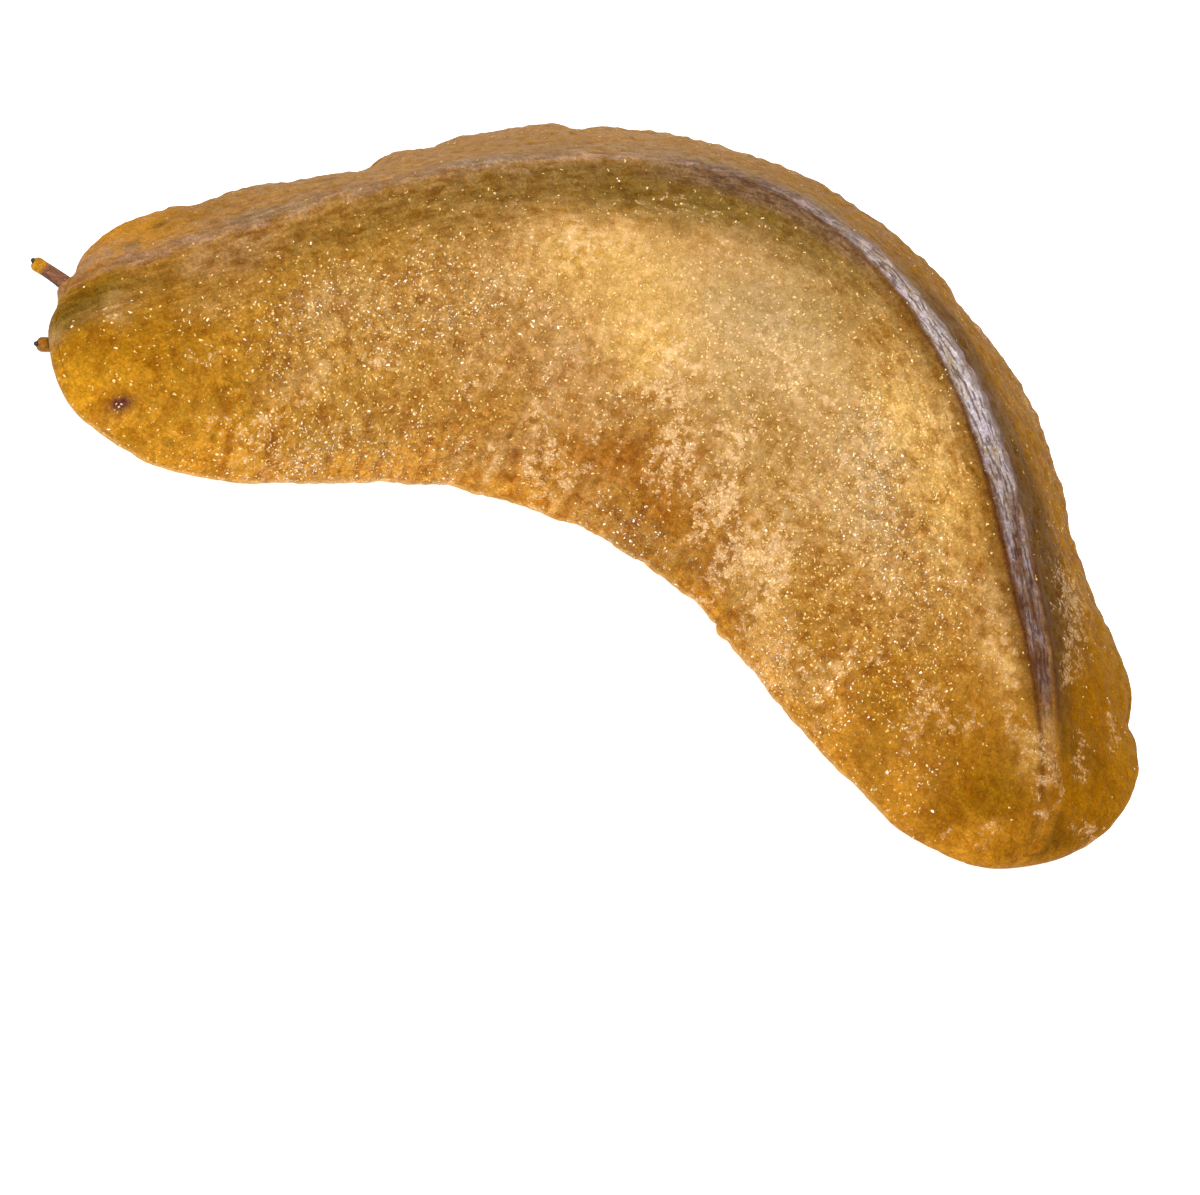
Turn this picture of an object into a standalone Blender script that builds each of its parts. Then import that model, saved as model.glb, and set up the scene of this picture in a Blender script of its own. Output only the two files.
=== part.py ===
"""Pancake slug, life size, at rest on its sole with the body bent to its left.

Metres, +Z up. The head points to -X, the bend bows out to +Y, and the origin is
on the flat of the sole under the middle of the back. Sizes below are in
millimetres and MM turns them to metres.
"""
import math

import bmesh
import bpy
from mathutils import Vector

MM = 0.001
GAP = 0.3

# The line of the body on the ground: where it starts, its length and its bends.
# Each bend has a middle and a spread, as shares of the length, and a turn in degrees.
HEAD_POINT = (-37.2, -19.6)
BODY_LENGTH = 85.0
HEAD_HEADING = 7.0
BENDS = ((0.08, 0.06, 36.0), (0.54, 0.2, -99.0))
LINE_STEPS = 850

# The lines across the body fan out more evenly than the body line turns, as the flank
# on the inside of the bend is squeezed and the other is stretched.
FAN_BENDS = ((0.08, 0.08, 36.0), (0.54, 0.42, -99.0))

# The back (notum) in plan: its reach to each side of the body line, at even shares of
# the length, and its round ends.
INNER_REACH = (9.6, 10.0, 11.2, 12.6, 14.8, 16.2, 16.1, 14.7, 12.7, 9.8, 8.6)
OUTER_REACH = (9.6, 9.8, 10.9, 13.2, 16.3, 17.3, 17.2, 15.4, 12.8, 12.3, 13.2)
FRONT_ROUND = 8.0
TAIL_ROUND = 11.0

# The keel of the back: its height, and how far it lies to the outer side of the bend.
KEEL_HEIGHTS = (4.2, 7.0, 9.4, 11.6, 13.2, 14.0, 13.7, 12.3, 9.7, 5.9, 2.4)
KEEL_SHIFTS = (2.0, 3.9, 4.5, 4.6, 4.6, 4.7, 4.2, 3.6, 3.0, 3.0, 3.0)
RIDGE_HEIGHTS = (0.1, 0.3, 0.3, 0.3, 0.35, 0.45, 0.55, 0.65, 0.65, 0.5, 0.0)
RIDGE_HALF_WIDTH = 1.3

# The thin edge of the back: height of its middle on each side, and thickness.
INNER_EDGE_HEIGHTS = (2.9, 1.7, 1.2, 1.1, 1.1, 1.1, 1.1, 1.1, 1.1, 1.1, 1.2)
OUTER_EDGE_HEIGHTS = (2.9, 2.1, 1.8, 1.7, 1.7, 1.7, 1.7, 1.7, 1.6, 1.4, 1.2)
EDGE_THICKNESS = 1.3
EDGE_WIDTH = 1.1

# The waves of the thin edge in plan, each a length, a depth and a phase in radians.
INNER_WAVES = ((9.5, 0.13, 2.6), (21.0, 0.12, 0.9))
OUTER_WAVES = ((15.5, 0.3, 2.3), (6.1, 0.07, 0.5))

# Flank roundness: the share of an ellipse in each flank's curve, the rest being straight.
INNER_ROUND = 0.72
OUTER_ROUND = 0.22

# The foot: a flat sole, with a groove between it and the underside of the back.
FOOT_HALF_WIDTH = 5.0
FOOT_HEIGHT = 2.0
FOOT_START = 6.2
FOOT_END = 80.5
FOOT_FRONT_ROUND = 3.0
FOOT_TAIL_ROUND = 14.0
SOLE_CHAMFER = 0.5
UNDERSIDE_RISE = 0.7

# The head, under the front edge of the back, with the mouth low on its front.
HEAD_START = 1.6
HEAD_END = 5.9
HEAD_HALF_WIDTH = 3.4
HEAD_BOTTOM = 0.25
HEAD_TOP = 2.0
HEAD_ROUND = 2.2
MOUTH_WIDTH = 1.5
MOUTH_HEIGHT = 0.5
MOUTH_DEPTH = 0.45
LIP_RADIUS = 0.2

# Eye feelers: where each grows from the head's front face, across the body and up,
# where its tip is, and how far up from the tip the eye looks.
FEELERS = {
    "right": {"across": 1.3, "height": 1.5, "tip": (-39.7, -17.7, 2.25), "look": 0.45},
    "left": {"across": -2.2, "height": 1.4, "tip": (-37.1, -22.7, 1.5), "look": 0.1},
}
FEELER_ROOT_RADIUS = 0.52
FEELER_NECK_RADIUS = 0.44
FEELER_BULB_RADIUS = 0.47
FEELER_BULB_LENGTH = 0.8
EYE_RADIUS = 0.17
EYE_GAP = 0.06
EYE_DEPTH = 0.09

# Lower feelers, short and two-lobed, one each side of the mouth.
LOWER_FEELER_SPREAD = 1.9
LOWER_FEELER_HEIGHT = 0.6
LOWER_FEELER_LENGTH = 0.9
LOWER_FEELER_RADIUS = 0.28

# Lengths of the back and of the foot, as stations along the body in millimetres.
BACK_CUTS = (0.0, 12.5, 29.0, 47.0, 65.5, 85.0)
BACK_NAMES = ("back_front", "back_fore", "back_middle", "back_rear", "back_tail")
FOOT_CUTS = (FOOT_START, 20.0, 34.0, 49.0, 64.0, FOOT_END)
FOOT_NAMES = ("foot_front", "foot_fore", "foot_middle", "foot_rear", "foot_tail")
RING_STEP = 1.7
INNER_POINTS = 15
OUTER_POINTS = 11
END_SLICES = 6
SMALLEST_ANGLE = 0.13


def clear_scene():
    for item in list(bpy.data.objects):
        bpy.data.objects.remove(item, do_unlink=True)


def new_collection(name):
    collection = bpy.data.collections.new(name)
    bpy.context.scene.collection.children.link(collection)
    return collection


def new_material(name, color, roughness):
    material = bpy.data.materials.new(name)
    material.use_nodes = True
    shader = material.node_tree.nodes["Principled BSDF"]
    shader.inputs["Base Color"].default_value = (*color, 1.0)
    shader.inputs["Roughness"].default_value = roughness
    shader.inputs["Metallic"].default_value = 0.0
    return material


def at_share(values, share):
    """A smooth value between evenly spaced ones, by a cubic through them."""
    last = len(values) - 1
    place = min(max(share, 0.0), 1.0) * last
    i = min(int(place), last - 1)
    t = place - i
    before = values[max(i - 1, 0)]
    after = values[min(i + 2, last)]
    start, end = values[i], values[i + 1]
    slope_in = (end - before) / (2.0 if i > 0 else 1.0)
    slope_out = (after - start) / (2.0 if i + 2 <= last else 1.0)
    return (start * (2 * t ** 3 - 3 * t ** 2 + 1) + slope_in * (t ** 3 - 2 * t ** 2 + t)
            + end * (3 * t ** 2 - 2 * t ** 3) + slope_out * (t ** 3 - t ** 2))


def bend_share(share, middle, spread):
    """How much of a bend's turn is done at a share of the length."""
    start = math.tanh(-middle / spread)
    end = math.tanh((1.0 - middle) / spread)
    return (math.tanh((share - middle) / spread) - start) / (end - start)


def heading_at(station, bends):
    share = station / BODY_LENGTH
    turn = sum(angle * bend_share(share, middle, spread) for middle, spread, angle in bends)
    return math.radians(HEAD_HEADING + turn)


def body_line():
    """Points of the body's line on the ground, one at each small step of its length."""
    step = BODY_LENGTH / LINE_STEPS
    x, y = HEAD_POINT
    points = [(x, y)]
    for i in range(LINE_STEPS):
        heading = heading_at((i + 0.5) * step, BENDS)
        x += math.cos(heading) * step
        y += math.sin(heading) * step
        points.append((x, y))
    return points


LINE = body_line()


def on_body(station, across, height):
    """A point in metres from its station, its place across the body and its height."""
    place = min(max(station / BODY_LENGTH, 0.0), 1.0) * LINE_STEPS
    i = min(int(place), LINE_STEPS - 1)
    t = place - i
    x = LINE[i][0] * (1 - t) + LINE[i + 1][0] * t
    y = LINE[i][1] * (1 - t) + LINE[i + 1][1] * t
    heading = heading_at(station, FAN_BENDS)
    return Vector((x - math.sin(heading) * across, y + math.cos(heading) * across, height)) * MM


def round_end(distance, length):
    """1 away from an end, falling to 0 at it along a quarter of an ellipse."""
    d = min(max(distance / length, 0.0), 1.0)
    return math.sqrt(max(1.0 - (1.0 - d) ** 2, 0.0))


def end_narrowing(station):
    """How much of its full width the back has at a station, for its round ends."""
    return round_end(station, FRONT_ROUND) * round_end(BODY_LENGTH - station, TAIL_ROUND)


def edge_wave(station, waves):
    """The small in and out of the back's edge, fading at the two ends."""
    wave = sum(depth * math.sin(2 * math.pi * station / length + phase) for length, depth, phase in waves)
    return wave * end_narrowing(station)


def back_section(station):
    """The closed outline of the back at a station: (across, height) in millimetres."""
    share = station / BODY_LENGTH
    narrow = end_narrowing(station)
    inner = -at_share(INNER_REACH, share) * narrow - edge_wave(station, INNER_WAVES)
    outer = at_share(OUTER_REACH, share) * narrow + edge_wave(station, OUTER_WAVES)
    half = (outer - inner) / 2
    keel_at = at_share(KEEL_SHIFTS, share) * narrow
    inner_edge = at_share(INNER_EDGE_HEIGHTS, share)
    outer_edge = at_share(OUTER_EDGE_HEIGHTS, share)
    thick = EDGE_THICKNESS / 2
    lip = min(EDGE_WIDTH, 0.3 * half)
    crown = at_share(KEEL_HEIGHTS, share)
    blunt = round_end(station, 3.0) * round_end(BODY_LENGTH - station, 4.0)
    ridge = at_share(RIDGE_HEIGHTS, share) * narrow
    points = []
    for side, edge_at, edge_height, roundness, count in (
        (-1, inner, inner_edge, INNER_ROUND, INNER_POINTS),
        (1, outer, outer_edge, OUTER_ROUND, OUTER_POINTS),
    ):
        base = edge_height + thick * 0.7
        top = base + (crown - base) * blunt
        start = edge_at - side * lip * 0.3
        flank = []
        for k in range(count):
            angle = math.pi / 2 * k / count
            across = keel_at + (start - keel_at) * math.cos(angle)
            straight = 1.0 - math.cos(angle)
            rise = roundness * math.sin(angle) + (1.0 - roundness) * straight
            bump = ridge * math.exp(-((across - keel_at) / RIDGE_HALF_WIDTH) ** 2)
            flank.append((across, base + (top - base) * rise + bump))
        if side < 0:
            points.append((edge_at, edge_height))
            points += flank
            points.append((keel_at, top + ridge))
        else:
            points += reversed(flank)
            points.append((edge_at, edge_height))
    for side, edge_at, edge_height in ((1, outer, outer_edge), (-1, inner, inner_edge)):
        low = edge_height - thick
        under = [(edge_at - side * lip * 0.35, low), (edge_at - side * lip, low)]
        under.append((edge_at - side * (lip + 0.45 * half), low + UNDERSIDE_RISE * 0.5))
        if side > 0:
            points += under
        else:
            points += reversed(under)
    return points


def foot_section(station, extra):
    """The outline of the foot, or, with some extra, of the space it needs."""
    ends = round_end(station - FOOT_START + extra, FOOT_FRONT_ROUND)
    ends *= round_end(FOOT_END + extra - station, FOOT_TAIL_ROUND)
    half = (FOOT_HALF_WIDTH + extra) * max(ends, 0.12)
    top = FOOT_HEIGHT + extra
    chamfer = min(SOLE_CHAMFER, 0.5 * half)
    if extra > 0.0:
        return [(-half, -1.0), (-half, top), (half, top), (half, -1.0)]
    return [
        (-half + chamfer, 0.0), (-half + 0.3 * chamfer, 0.3 * chamfer), (-half, chamfer), (-half, top),
        (half, top), (half, chamfer), (half - 0.3 * chamfer, 0.3 * chamfer), (half - chamfer, 0.0),
    ]


def head_section(station, extra):
    """The outline of the head, or, with some extra, of the space it needs."""
    rounding = round_end(station - HEAD_START + extra + 0.25, HEAD_ROUND)
    half = (HEAD_HALF_WIDTH + extra) * (0.55 + 0.45 * rounding)
    if extra > 0.0:
        return [(-half, -1.0), (-half, HEAD_TOP + extra), (half, HEAD_TOP + extra), (half, -1.0)]
    middle = (HEAD_TOP + HEAD_BOTTOM) / 2
    tall = (HEAD_TOP - HEAD_BOTTOM) / 2 * (0.7 + 0.3 * rounding)
    points = []
    for k in range(20):
        angle = -2 * math.pi * k / 20
        c, s = math.cos(angle), math.sin(angle)
        across = half * math.copysign(abs(c) ** 0.6, c)
        points.append((across, middle + tall * math.copysign(abs(s) ** 0.7, s)))
    return points


def loft(name, sections, collection, material):
    """A closed body through sections, each a station and its outline, with flat end caps."""
    mesh = bpy.data.meshes.new(name)
    work = bmesh.new()
    rings = []
    for station, outline in sections:
        rings.append([work.verts.new(on_body(station, *point)) for point in outline])
    for ring_a, ring_b in zip(rings, rings[1:]):
        count = len(ring_a)
        for i in range(count):
            j = (i + 1) % count
            work.faces.new((ring_a[i], ring_a[j], ring_b[j], ring_b[i]))
    work.faces.new(list(reversed(rings[0])))
    work.faces.new(rings[-1])
    bmesh.ops.recalc_face_normals(work, faces=work.faces[:])
    work.to_mesh(mesh)
    work.free()
    body = bpy.data.objects.new(name, mesh)
    collection.objects.link(body)
    if material:
        mesh.materials.append(material)
        mesh.shade_smooth()
        mesh.set_sharp_from_angle(angle=math.radians(50))
    return body


def even_stations(start, end, step):
    count = max(int(round((end - start) / step)), 1)
    return [start + (end - start) * i / count for i in range(count + 1)]


def end_stations(length):
    """Distances from an end, closer and closer towards it, for a rounded outline."""
    span = math.pi / 2 - SMALLEST_ANGLE
    angles = [SMALLEST_ANGLE + span * i / END_SLICES for i in range(END_SLICES + 1)]
    return [length * (1.0 - math.cos(angle)) for angle in angles]


def back_stations(start, end):
    """Stations of one length of the back, finer where it rounds off at an end."""
    if start <= 0.0:
        front = end_stations(FRONT_ROUND)
        return front + even_stations(FRONT_ROUND, end - GAP / 2, RING_STEP)[1:]
    if end >= BODY_LENGTH:
        tail = [BODY_LENGTH - d for d in reversed(end_stations(TAIL_ROUND))]
        return even_stations(start + GAP / 2, tail[0], RING_STEP)[:-1] + tail
    return even_stations(start + GAP / 2, end - GAP / 2, RING_STEP)


def make_guide(name, section, start, end, cutters):
    """The space that the foot or the head needs under the back."""
    sections = [(s, section(s, GAP)) for s in even_stations(start, end, RING_STEP / 2)]
    guide = loft(name, sections, cutters, None)
    guide.hide_render = True
    guide.display_type = "WIRE"
    return guide


def subtract(body, cutter):
    cut = body.modifiers.new("Room for " + cutter.name, "BOOLEAN")
    cut.operation = "DIFFERENCE"
    cut.solver = "EXACT"
    cut.object = cutter


def make_back(parts, cutters, material):
    foot_room = make_guide("foot_room", foot_section, FOOT_START - GAP, FOOT_END + GAP, cutters)
    head_room = make_guide("head_room", head_section, HEAD_START - 0.9, HEAD_END + GAP, cutters)
    for name, start, end in zip(BACK_NAMES, BACK_CUTS, BACK_CUTS[1:]):
        sections = [(s, back_section(s)) for s in back_stations(start, end)]
        body = loft(name, sections, parts, material)
        subtract(body, foot_room)
        if name == BACK_NAMES[0]:
            subtract(body, head_room)


def make_foot(parts, material):
    last = len(FOOT_NAMES) - 1
    for i, name in enumerate(FOOT_NAMES):
        start = FOOT_CUTS[i] + (GAP / 2 if i > 0 else 0.0)
        end = FOOT_CUTS[i + 1] - (GAP / 2 if i < last else 0.0)
        sections = [(s, foot_section(s, 0.0)) for s in even_stations(start, end, RING_STEP)]
        loft(name, sections, parts, material)


def aim(body, root, direction):
    """Sets a piece made along +Z at a point, pointing along a direction."""
    body.location = root
    body.rotation_mode = "QUATERNION"
    body.rotation_quaternion = direction.to_track_quat("Z", "Y")


def turned(name, profile, collection, material, steps):
    """A solid of revolution about Z from (radius, height) pairs in millimetres."""
    mesh = bpy.data.meshes.new(name)
    work = bmesh.new()
    verts = [work.verts.new((radius * MM, 0.0, height * MM)) for radius, height in profile]
    for a, b in zip(verts, verts[1:]):
        work.edges.new((a, b))
    work.to_mesh(mesh)
    work.free()
    mesh.materials.append(material)
    body = bpy.data.objects.new(name, mesh)
    collection.objects.link(body)
    screw = body.modifiers.new("Turn", "SCREW")
    screw.axis = "Z"
    screw.angle = 2 * math.pi
    screw.steps = steps
    screw.render_steps = steps
    screw.use_merge_vertices = True
    screw.merge_threshold = 0.00001
    screw.use_smooth_shade = True
    return body


def head_forward():
    """The direction that the head's front face looks in."""
    return (on_body(HEAD_START, 0.0, 0.0) - on_body(HEAD_START + 1.0, 0.0, 0.0)).normalized()


def feeler_profile(length):
    """Outer side of an eye feeler from its tip down to its root, closed on the axis."""
    bulb_middle = length - FEELER_BULB_LENGTH / 2
    profile = [(0.0, length)]
    for k in range(1, 6):
        angle = math.pi / 2 * k / 5
        height = bulb_middle + FEELER_BULB_LENGTH / 2 * math.cos(angle)
        profile.append((FEELER_BULB_RADIUS * math.sin(angle), height))
    neck = length - FEELER_BULB_LENGTH * 1.1
    profile.append((FEELER_NECK_RADIUS, neck))
    profile.append((FEELER_NECK_RADIUS * 1.05, neck * 0.5))
    profile.append((FEELER_ROOT_RADIUS, 0.0))
    profile.append((0.0, 0.0))
    return profile


def ball(name, centre, radius, collection, material):
    """A small sphere at a point in millimetres: an eye, or the room for one."""
    bpy.ops.mesh.primitive_uv_sphere_add(segments=14, ring_count=8, radius=radius * MM, location=centre * MM)
    sphere = bpy.context.active_object
    sphere.name = name
    for other in list(sphere.users_collection):
        other.objects.unlink(sphere)
    collection.objects.link(sphere)
    if material:
        sphere.data.materials.append(material)
        sphere.data.shade_smooth()
    else:
        sphere.hide_render = True
        sphere.display_type = "WIRE"
    return sphere


def make_eye_feelers(parts, cutters, skin, eye_material):
    for side, place in FEELERS.items():
        tip = Vector(place["tip"])
        foot = on_body(HEAD_START, place["across"], place["height"]) / MM
        slant = (tip - foot).normalized()
        slope = math.sqrt(max(1.0 - slant.dot(head_forward()) ** 2, 0.0))
        root = foot + head_forward() * (GAP + FEELER_ROOT_RADIUS * slope)
        reach = tip - root
        body = turned("eye_feeler_" + side, feeler_profile(reach.length), parts, skin, 14)
        aim(body, root * MM, reach)
        bulb_middle = tip - reach.normalized() * FEELER_BULB_LENGTH / 2
        look = (reach.normalized() + Vector((0.0, 0.0, place["look"]))).normalized()
        centre = bulb_middle + look * (FEELER_BULB_RADIUS - EYE_DEPTH)
        subtract(body, ball("eye_room_" + side, centre, EYE_RADIUS + EYE_GAP, cutters, None))
        ball("eye_" + side, centre, EYE_RADIUS, parts, eye_material)


def union(body, extras):
    """Joins closed meshes to a body, applied, and removes them."""
    group = new_collection("join_" + body.name)
    for extra in extras:
        for collection in list(extra.users_collection):
            collection.objects.unlink(extra)
        group.objects.link(extra)
    join = body.modifiers.new("Join", "BOOLEAN")
    join.operation = "UNION"
    join.solver = "EXACT"
    join.operand_type = "COLLECTION"
    join.collection = group
    bpy.context.view_layer.update()
    evaluated = body.evaluated_get(bpy.context.evaluated_depsgraph_get())
    joined = bpy.data.meshes.new_from_object(evaluated)
    body.modifiers.clear()
    body.data = joined
    for extra in list(group.objects):
        bpy.data.objects.remove(extra, do_unlink=True)
    bpy.data.collections.remove(group)


def make_head(parts, cutters, material):
    sections = [(s, head_section(s, 0.0)) for s in even_stations(HEAD_START, HEAD_END, 0.5)]
    head = loft("head", sections, parts, material)
    forward = head_forward()
    mouth_at = on_body(HEAD_START, 0.0, HEAD_BOTTOM + 0.75)
    turn = math.atan2(forward.y, forward.x) + math.pi / 2
    lips = []
    for height in (-0.3, 0.3):
        bpy.ops.mesh.primitive_uv_sphere_add(segments=14, ring_count=8, radius=1.0)
        lip = bpy.context.active_object
        lip.scale = (MOUTH_WIDTH * 0.62 * MM, LIP_RADIUS * 1.5 * MM, LIP_RADIUS * MM)
        lip.location = mouth_at + Vector((0.0, 0.0, height * MM))
        lip.rotation_euler = (0.0, 0.0, turn)
        lips.append(lip)
    union(head, lips)
    bpy.ops.mesh.primitive_uv_sphere_add(segments=14, ring_count=8, radius=1.0)
    mouth = bpy.context.active_object
    mouth.name = "mouth_room"
    mouth.scale = (MOUTH_WIDTH / 2 * MM, MOUTH_DEPTH * MM, MOUTH_HEIGHT / 4 * MM)
    mouth.location = mouth_at
    mouth.rotation_euler = (0.0, 0.0, turn)
    mouth.hide_render = True
    mouth.display_type = "WIRE"
    for collection in list(mouth.users_collection):
        collection.objects.unlink(mouth)
    cutters.objects.link(mouth)
    subtract(head, mouth)


def make_lower_feelers(parts, material):
    """Two short feelers beside the mouth, each a stub that ends in two round lobes."""
    for side, sign in (("right", 1), ("left", -1)):
        root = on_body(HEAD_START - GAP, sign * LOWER_FEELER_SPREAD, LOWER_FEELER_HEIGHT)
        direction = (head_forward() + Vector((0.0, 0.12 * sign, -0.1))).normalized()
        stub = LOWER_FEELER_LENGTH * 0.75
        radius = LOWER_FEELER_RADIUS
        profile = [(0.0, stub), (0.6 * radius, stub - 0.05), (0.9 * radius, stub - 0.2), (radius, 0.0), (0.0, 0.0)]
        body = turned("lower_feeler_" + side, profile, parts, material, 10)
        aim(body, root, direction)
        lobes = []
        for lobe_side in (-1, 1):
            bpy.ops.mesh.primitive_uv_sphere_add(segments=10, ring_count=6, radius=0.75 * radius * MM)
            lobe = bpy.context.active_object
            sideways = direction.cross(Vector((0.0, 0.0, 1.0))).normalized()
            spread = sideways * (0.5 * radius * lobe_side * MM)
            lobe.location = root + direction * (stub * MM * 0.95) + spread
            lobes.append(lobe)
        union(body, lobes)


def main():
    clear_scene()
    parts = new_collection("pancake_slug")
    cutters = new_collection("cutters")
    back_skin = new_material("wet_skin_of_the_back", (0.42, 0.2, 0.045), 0.35)
    foot_skin = new_material("pale_skin_of_the_foot", (0.62, 0.45, 0.24), 0.45)
    head_skin = new_material("brown_skin_of_the_head", (0.3, 0.14, 0.06), 0.4)
    eye_black = new_material("glossy_black_eye", (0.01, 0.008, 0.006), 0.15)
    make_back(parts, cutters, back_skin)
    make_foot(parts, foot_skin)
    make_head(parts, cutters, head_skin)
    make_eye_feelers(parts, cutters, head_skin, eye_black)
    make_lower_feelers(parts, head_skin)


main()
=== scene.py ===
import math
from functools import partial
from types import SimpleNamespace

import bmesh
import bpy
import numpy as np
from mathutils import Matrix, Vector, noise


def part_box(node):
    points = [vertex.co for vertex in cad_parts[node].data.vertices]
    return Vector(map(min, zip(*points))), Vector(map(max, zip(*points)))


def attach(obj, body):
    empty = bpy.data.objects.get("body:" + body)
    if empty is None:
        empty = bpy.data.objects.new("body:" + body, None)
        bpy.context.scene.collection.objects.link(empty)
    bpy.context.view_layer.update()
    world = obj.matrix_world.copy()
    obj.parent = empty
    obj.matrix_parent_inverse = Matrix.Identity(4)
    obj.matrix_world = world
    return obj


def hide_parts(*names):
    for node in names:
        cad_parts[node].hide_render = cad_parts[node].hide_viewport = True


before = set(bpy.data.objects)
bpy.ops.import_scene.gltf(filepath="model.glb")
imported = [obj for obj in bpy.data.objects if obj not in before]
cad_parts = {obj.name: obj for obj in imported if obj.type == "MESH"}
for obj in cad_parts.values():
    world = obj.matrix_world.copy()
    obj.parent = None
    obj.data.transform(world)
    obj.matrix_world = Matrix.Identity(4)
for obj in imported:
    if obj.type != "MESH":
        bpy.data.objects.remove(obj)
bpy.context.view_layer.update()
print("frame loaded:", len(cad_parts), "nodes")

mm = 0.001

# the line of the body on the ground and its cross-sections, as the solids have them, in millimetres
slugBody = SimpleNamespace(
    headPoint=(-37.2, -19.6),
    length=85.0,
    headHeading=7.0,
    lineSteps=850,
    bends=((0.08, 0.06, 36.0), (0.54, 0.2, -99.0)),     # middle and spread as shares, turn in degrees
    fanBends=((0.08, 0.08, 36.0), (0.54, 0.42, -99.0)),
    innerReach=(9.6, 10.0, 11.2, 12.6, 14.8, 16.2, 16.1, 14.7, 12.7, 9.8, 8.6),
    outerReach=(9.6, 9.8, 10.9, 13.2, 16.3, 17.3, 17.2, 15.4, 12.8, 12.3, 13.2),
    frontRound=8.0,
    tailRound=11.0,
    keelHeights=(4.2, 7.0, 9.4, 11.6, 13.2, 14.0, 13.7, 12.3, 9.7, 5.9, 2.4),
    keelShifts=(2.0, 3.9, 4.5, 4.6, 4.6, 4.7, 4.2, 3.6, 3.0, 3.0, 3.0),
    ridgeHeights=(0.1, 0.3, 0.3, 0.3, 0.35, 0.45, 0.55, 0.65, 0.65, 0.5, 0.0),
    ridgeHalfWidth=1.3,
    innerEdgeHeights=(2.9, 1.7, 1.2, 1.1, 1.1, 1.1, 1.1, 1.1, 1.1, 1.1, 1.2),
    outerEdgeHeights=(2.9, 2.1, 1.8, 1.7, 1.7, 1.7, 1.7, 1.7, 1.6, 1.4, 1.2),
    innerWaves=((9.5, 0.13, 2.6), (21.0, 0.12, 0.9)),
    outerWaves=((15.5, 0.3, 2.3), (6.1, 0.07, 0.5)),
    innerRound=0.72,
    outerRound=0.22,
    rimReach=0.34,          # how far the rounded rim stands out
    rimHalfThickness=0.66,
    rimDrop=0.21,           # middle of the rim below the edge height
    underRise=0.35,
    footHalfWidth=5.0,
    footStart=6.2,
    footEnd=80.5,
    footFrontRound=3.0,
    footTailRound=14.0,
    soleChamfer=0.5,
    grooveRise=0.55,
    grooveWidth=0.9,
)


def linear(hexColour):
    # an sRGB hex colour as linear red, green and blue
    parts = [int(hexColour[i:i + 2], 16) / 255 for i in (1, 3, 5)]
    return [p / 12.92 if p <= 0.04045 else ((p + 0.055) / 1.055) ** 2.4 for p in parts]


def evenValue(values, share):
    # a smooth value between evenly spaced ones, by a cubic through them
    values = np.array(values, float)
    last = len(values) - 1
    place = np.clip(share, 0.0, 1.0) * last
    i = np.minimum(place.astype(int), last - 1)
    t = place - i
    start, end = values[i], values[i + 1]
    before, after = values[np.maximum(i - 1, 0)], values[np.minimum(i + 2, last)]
    slopeIn = (end - before) / np.where(i > 0, 2.0, 1.0)
    slopeOut = (after - start) / np.where(i + 2 <= last, 2.0, 1.0)
    return (start * (2 * t ** 3 - 3 * t ** 2 + 1) + slopeIn * (t ** 3 - 2 * t ** 2 + t)
            + end * (3 * t ** 2 - 2 * t ** 3) + slopeOut * (t ** 3 - t ** 2))


def stationValue(values, station):
    return evenValue(values, station / slugBody.length)


def smooth(value, low, high):
    t = np.clip((value - low) / (high - low), 0.0, 1.0)
    return t * t * (3 - 2 * t)


def bell(distance, width):
    return np.exp(-(distance / width) ** 2)


def headingAt(station, bends):
    share = station / slugBody.length
    turn = 0.0
    for middle, spread, angle in bends:
        start, end = math.tanh(-middle / spread), math.tanh((1 - middle) / spread)
        turn = turn + angle * (np.tanh((share - middle) / spread) - start) / (end - start)
    return np.radians(slugBody.headHeading + turn)


lineStep = slugBody.length / slugBody.lineSteps
lineStations = np.arange(slugBody.lineSteps + 1) * lineStep
lineHeadings = headingAt(lineStations[:-1] + lineStep / 2, slugBody.bends)
lineX = slugBody.headPoint[0] + np.concatenate([[0.0], np.cumsum(np.cos(lineHeadings)) * lineStep])
lineY = slugBody.headPoint[1] + np.concatenate([[0.0], np.cumsum(np.sin(lineHeadings)) * lineStep])


def onBody(station, across, height):
    # points in millimetres from their station, their place across the body and their height
    station, across, height = np.broadcast_arrays(station, across, height)
    heading = headingAt(station, slugBody.fanBends)
    x = np.interp(station, lineStations, lineX) - np.sin(heading) * across
    y = np.interp(station, lineStations, lineY) + np.cos(heading) * across
    return np.stack([x, y, height], axis=-1)


def roundEnd(distance, length):
    d = np.clip(distance / length, 0.0, 1.0)
    return np.sqrt(np.maximum(1.0 - (1.0 - d) ** 2, 0.0))


def noiseAt(points, size, seed=0, stretch=(1.0, 1.0, 1.0)):
    # smooth noise from -1 to 1 with bumps of about this size in millimetres
    flat = points.reshape(-1, points.shape[-1]) / size / np.array(stretch) + np.array([17.3, 5.1, 9.7]) * seed
    return np.array([noise.noise(p) for p in flat.tolist()]).reshape(points.shape[:-1])


def addPiece(name, data):
    piece = bpy.data.objects.new(name, data)
    bpy.context.scene.collection.objects.link(piece)
    return piece


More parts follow.
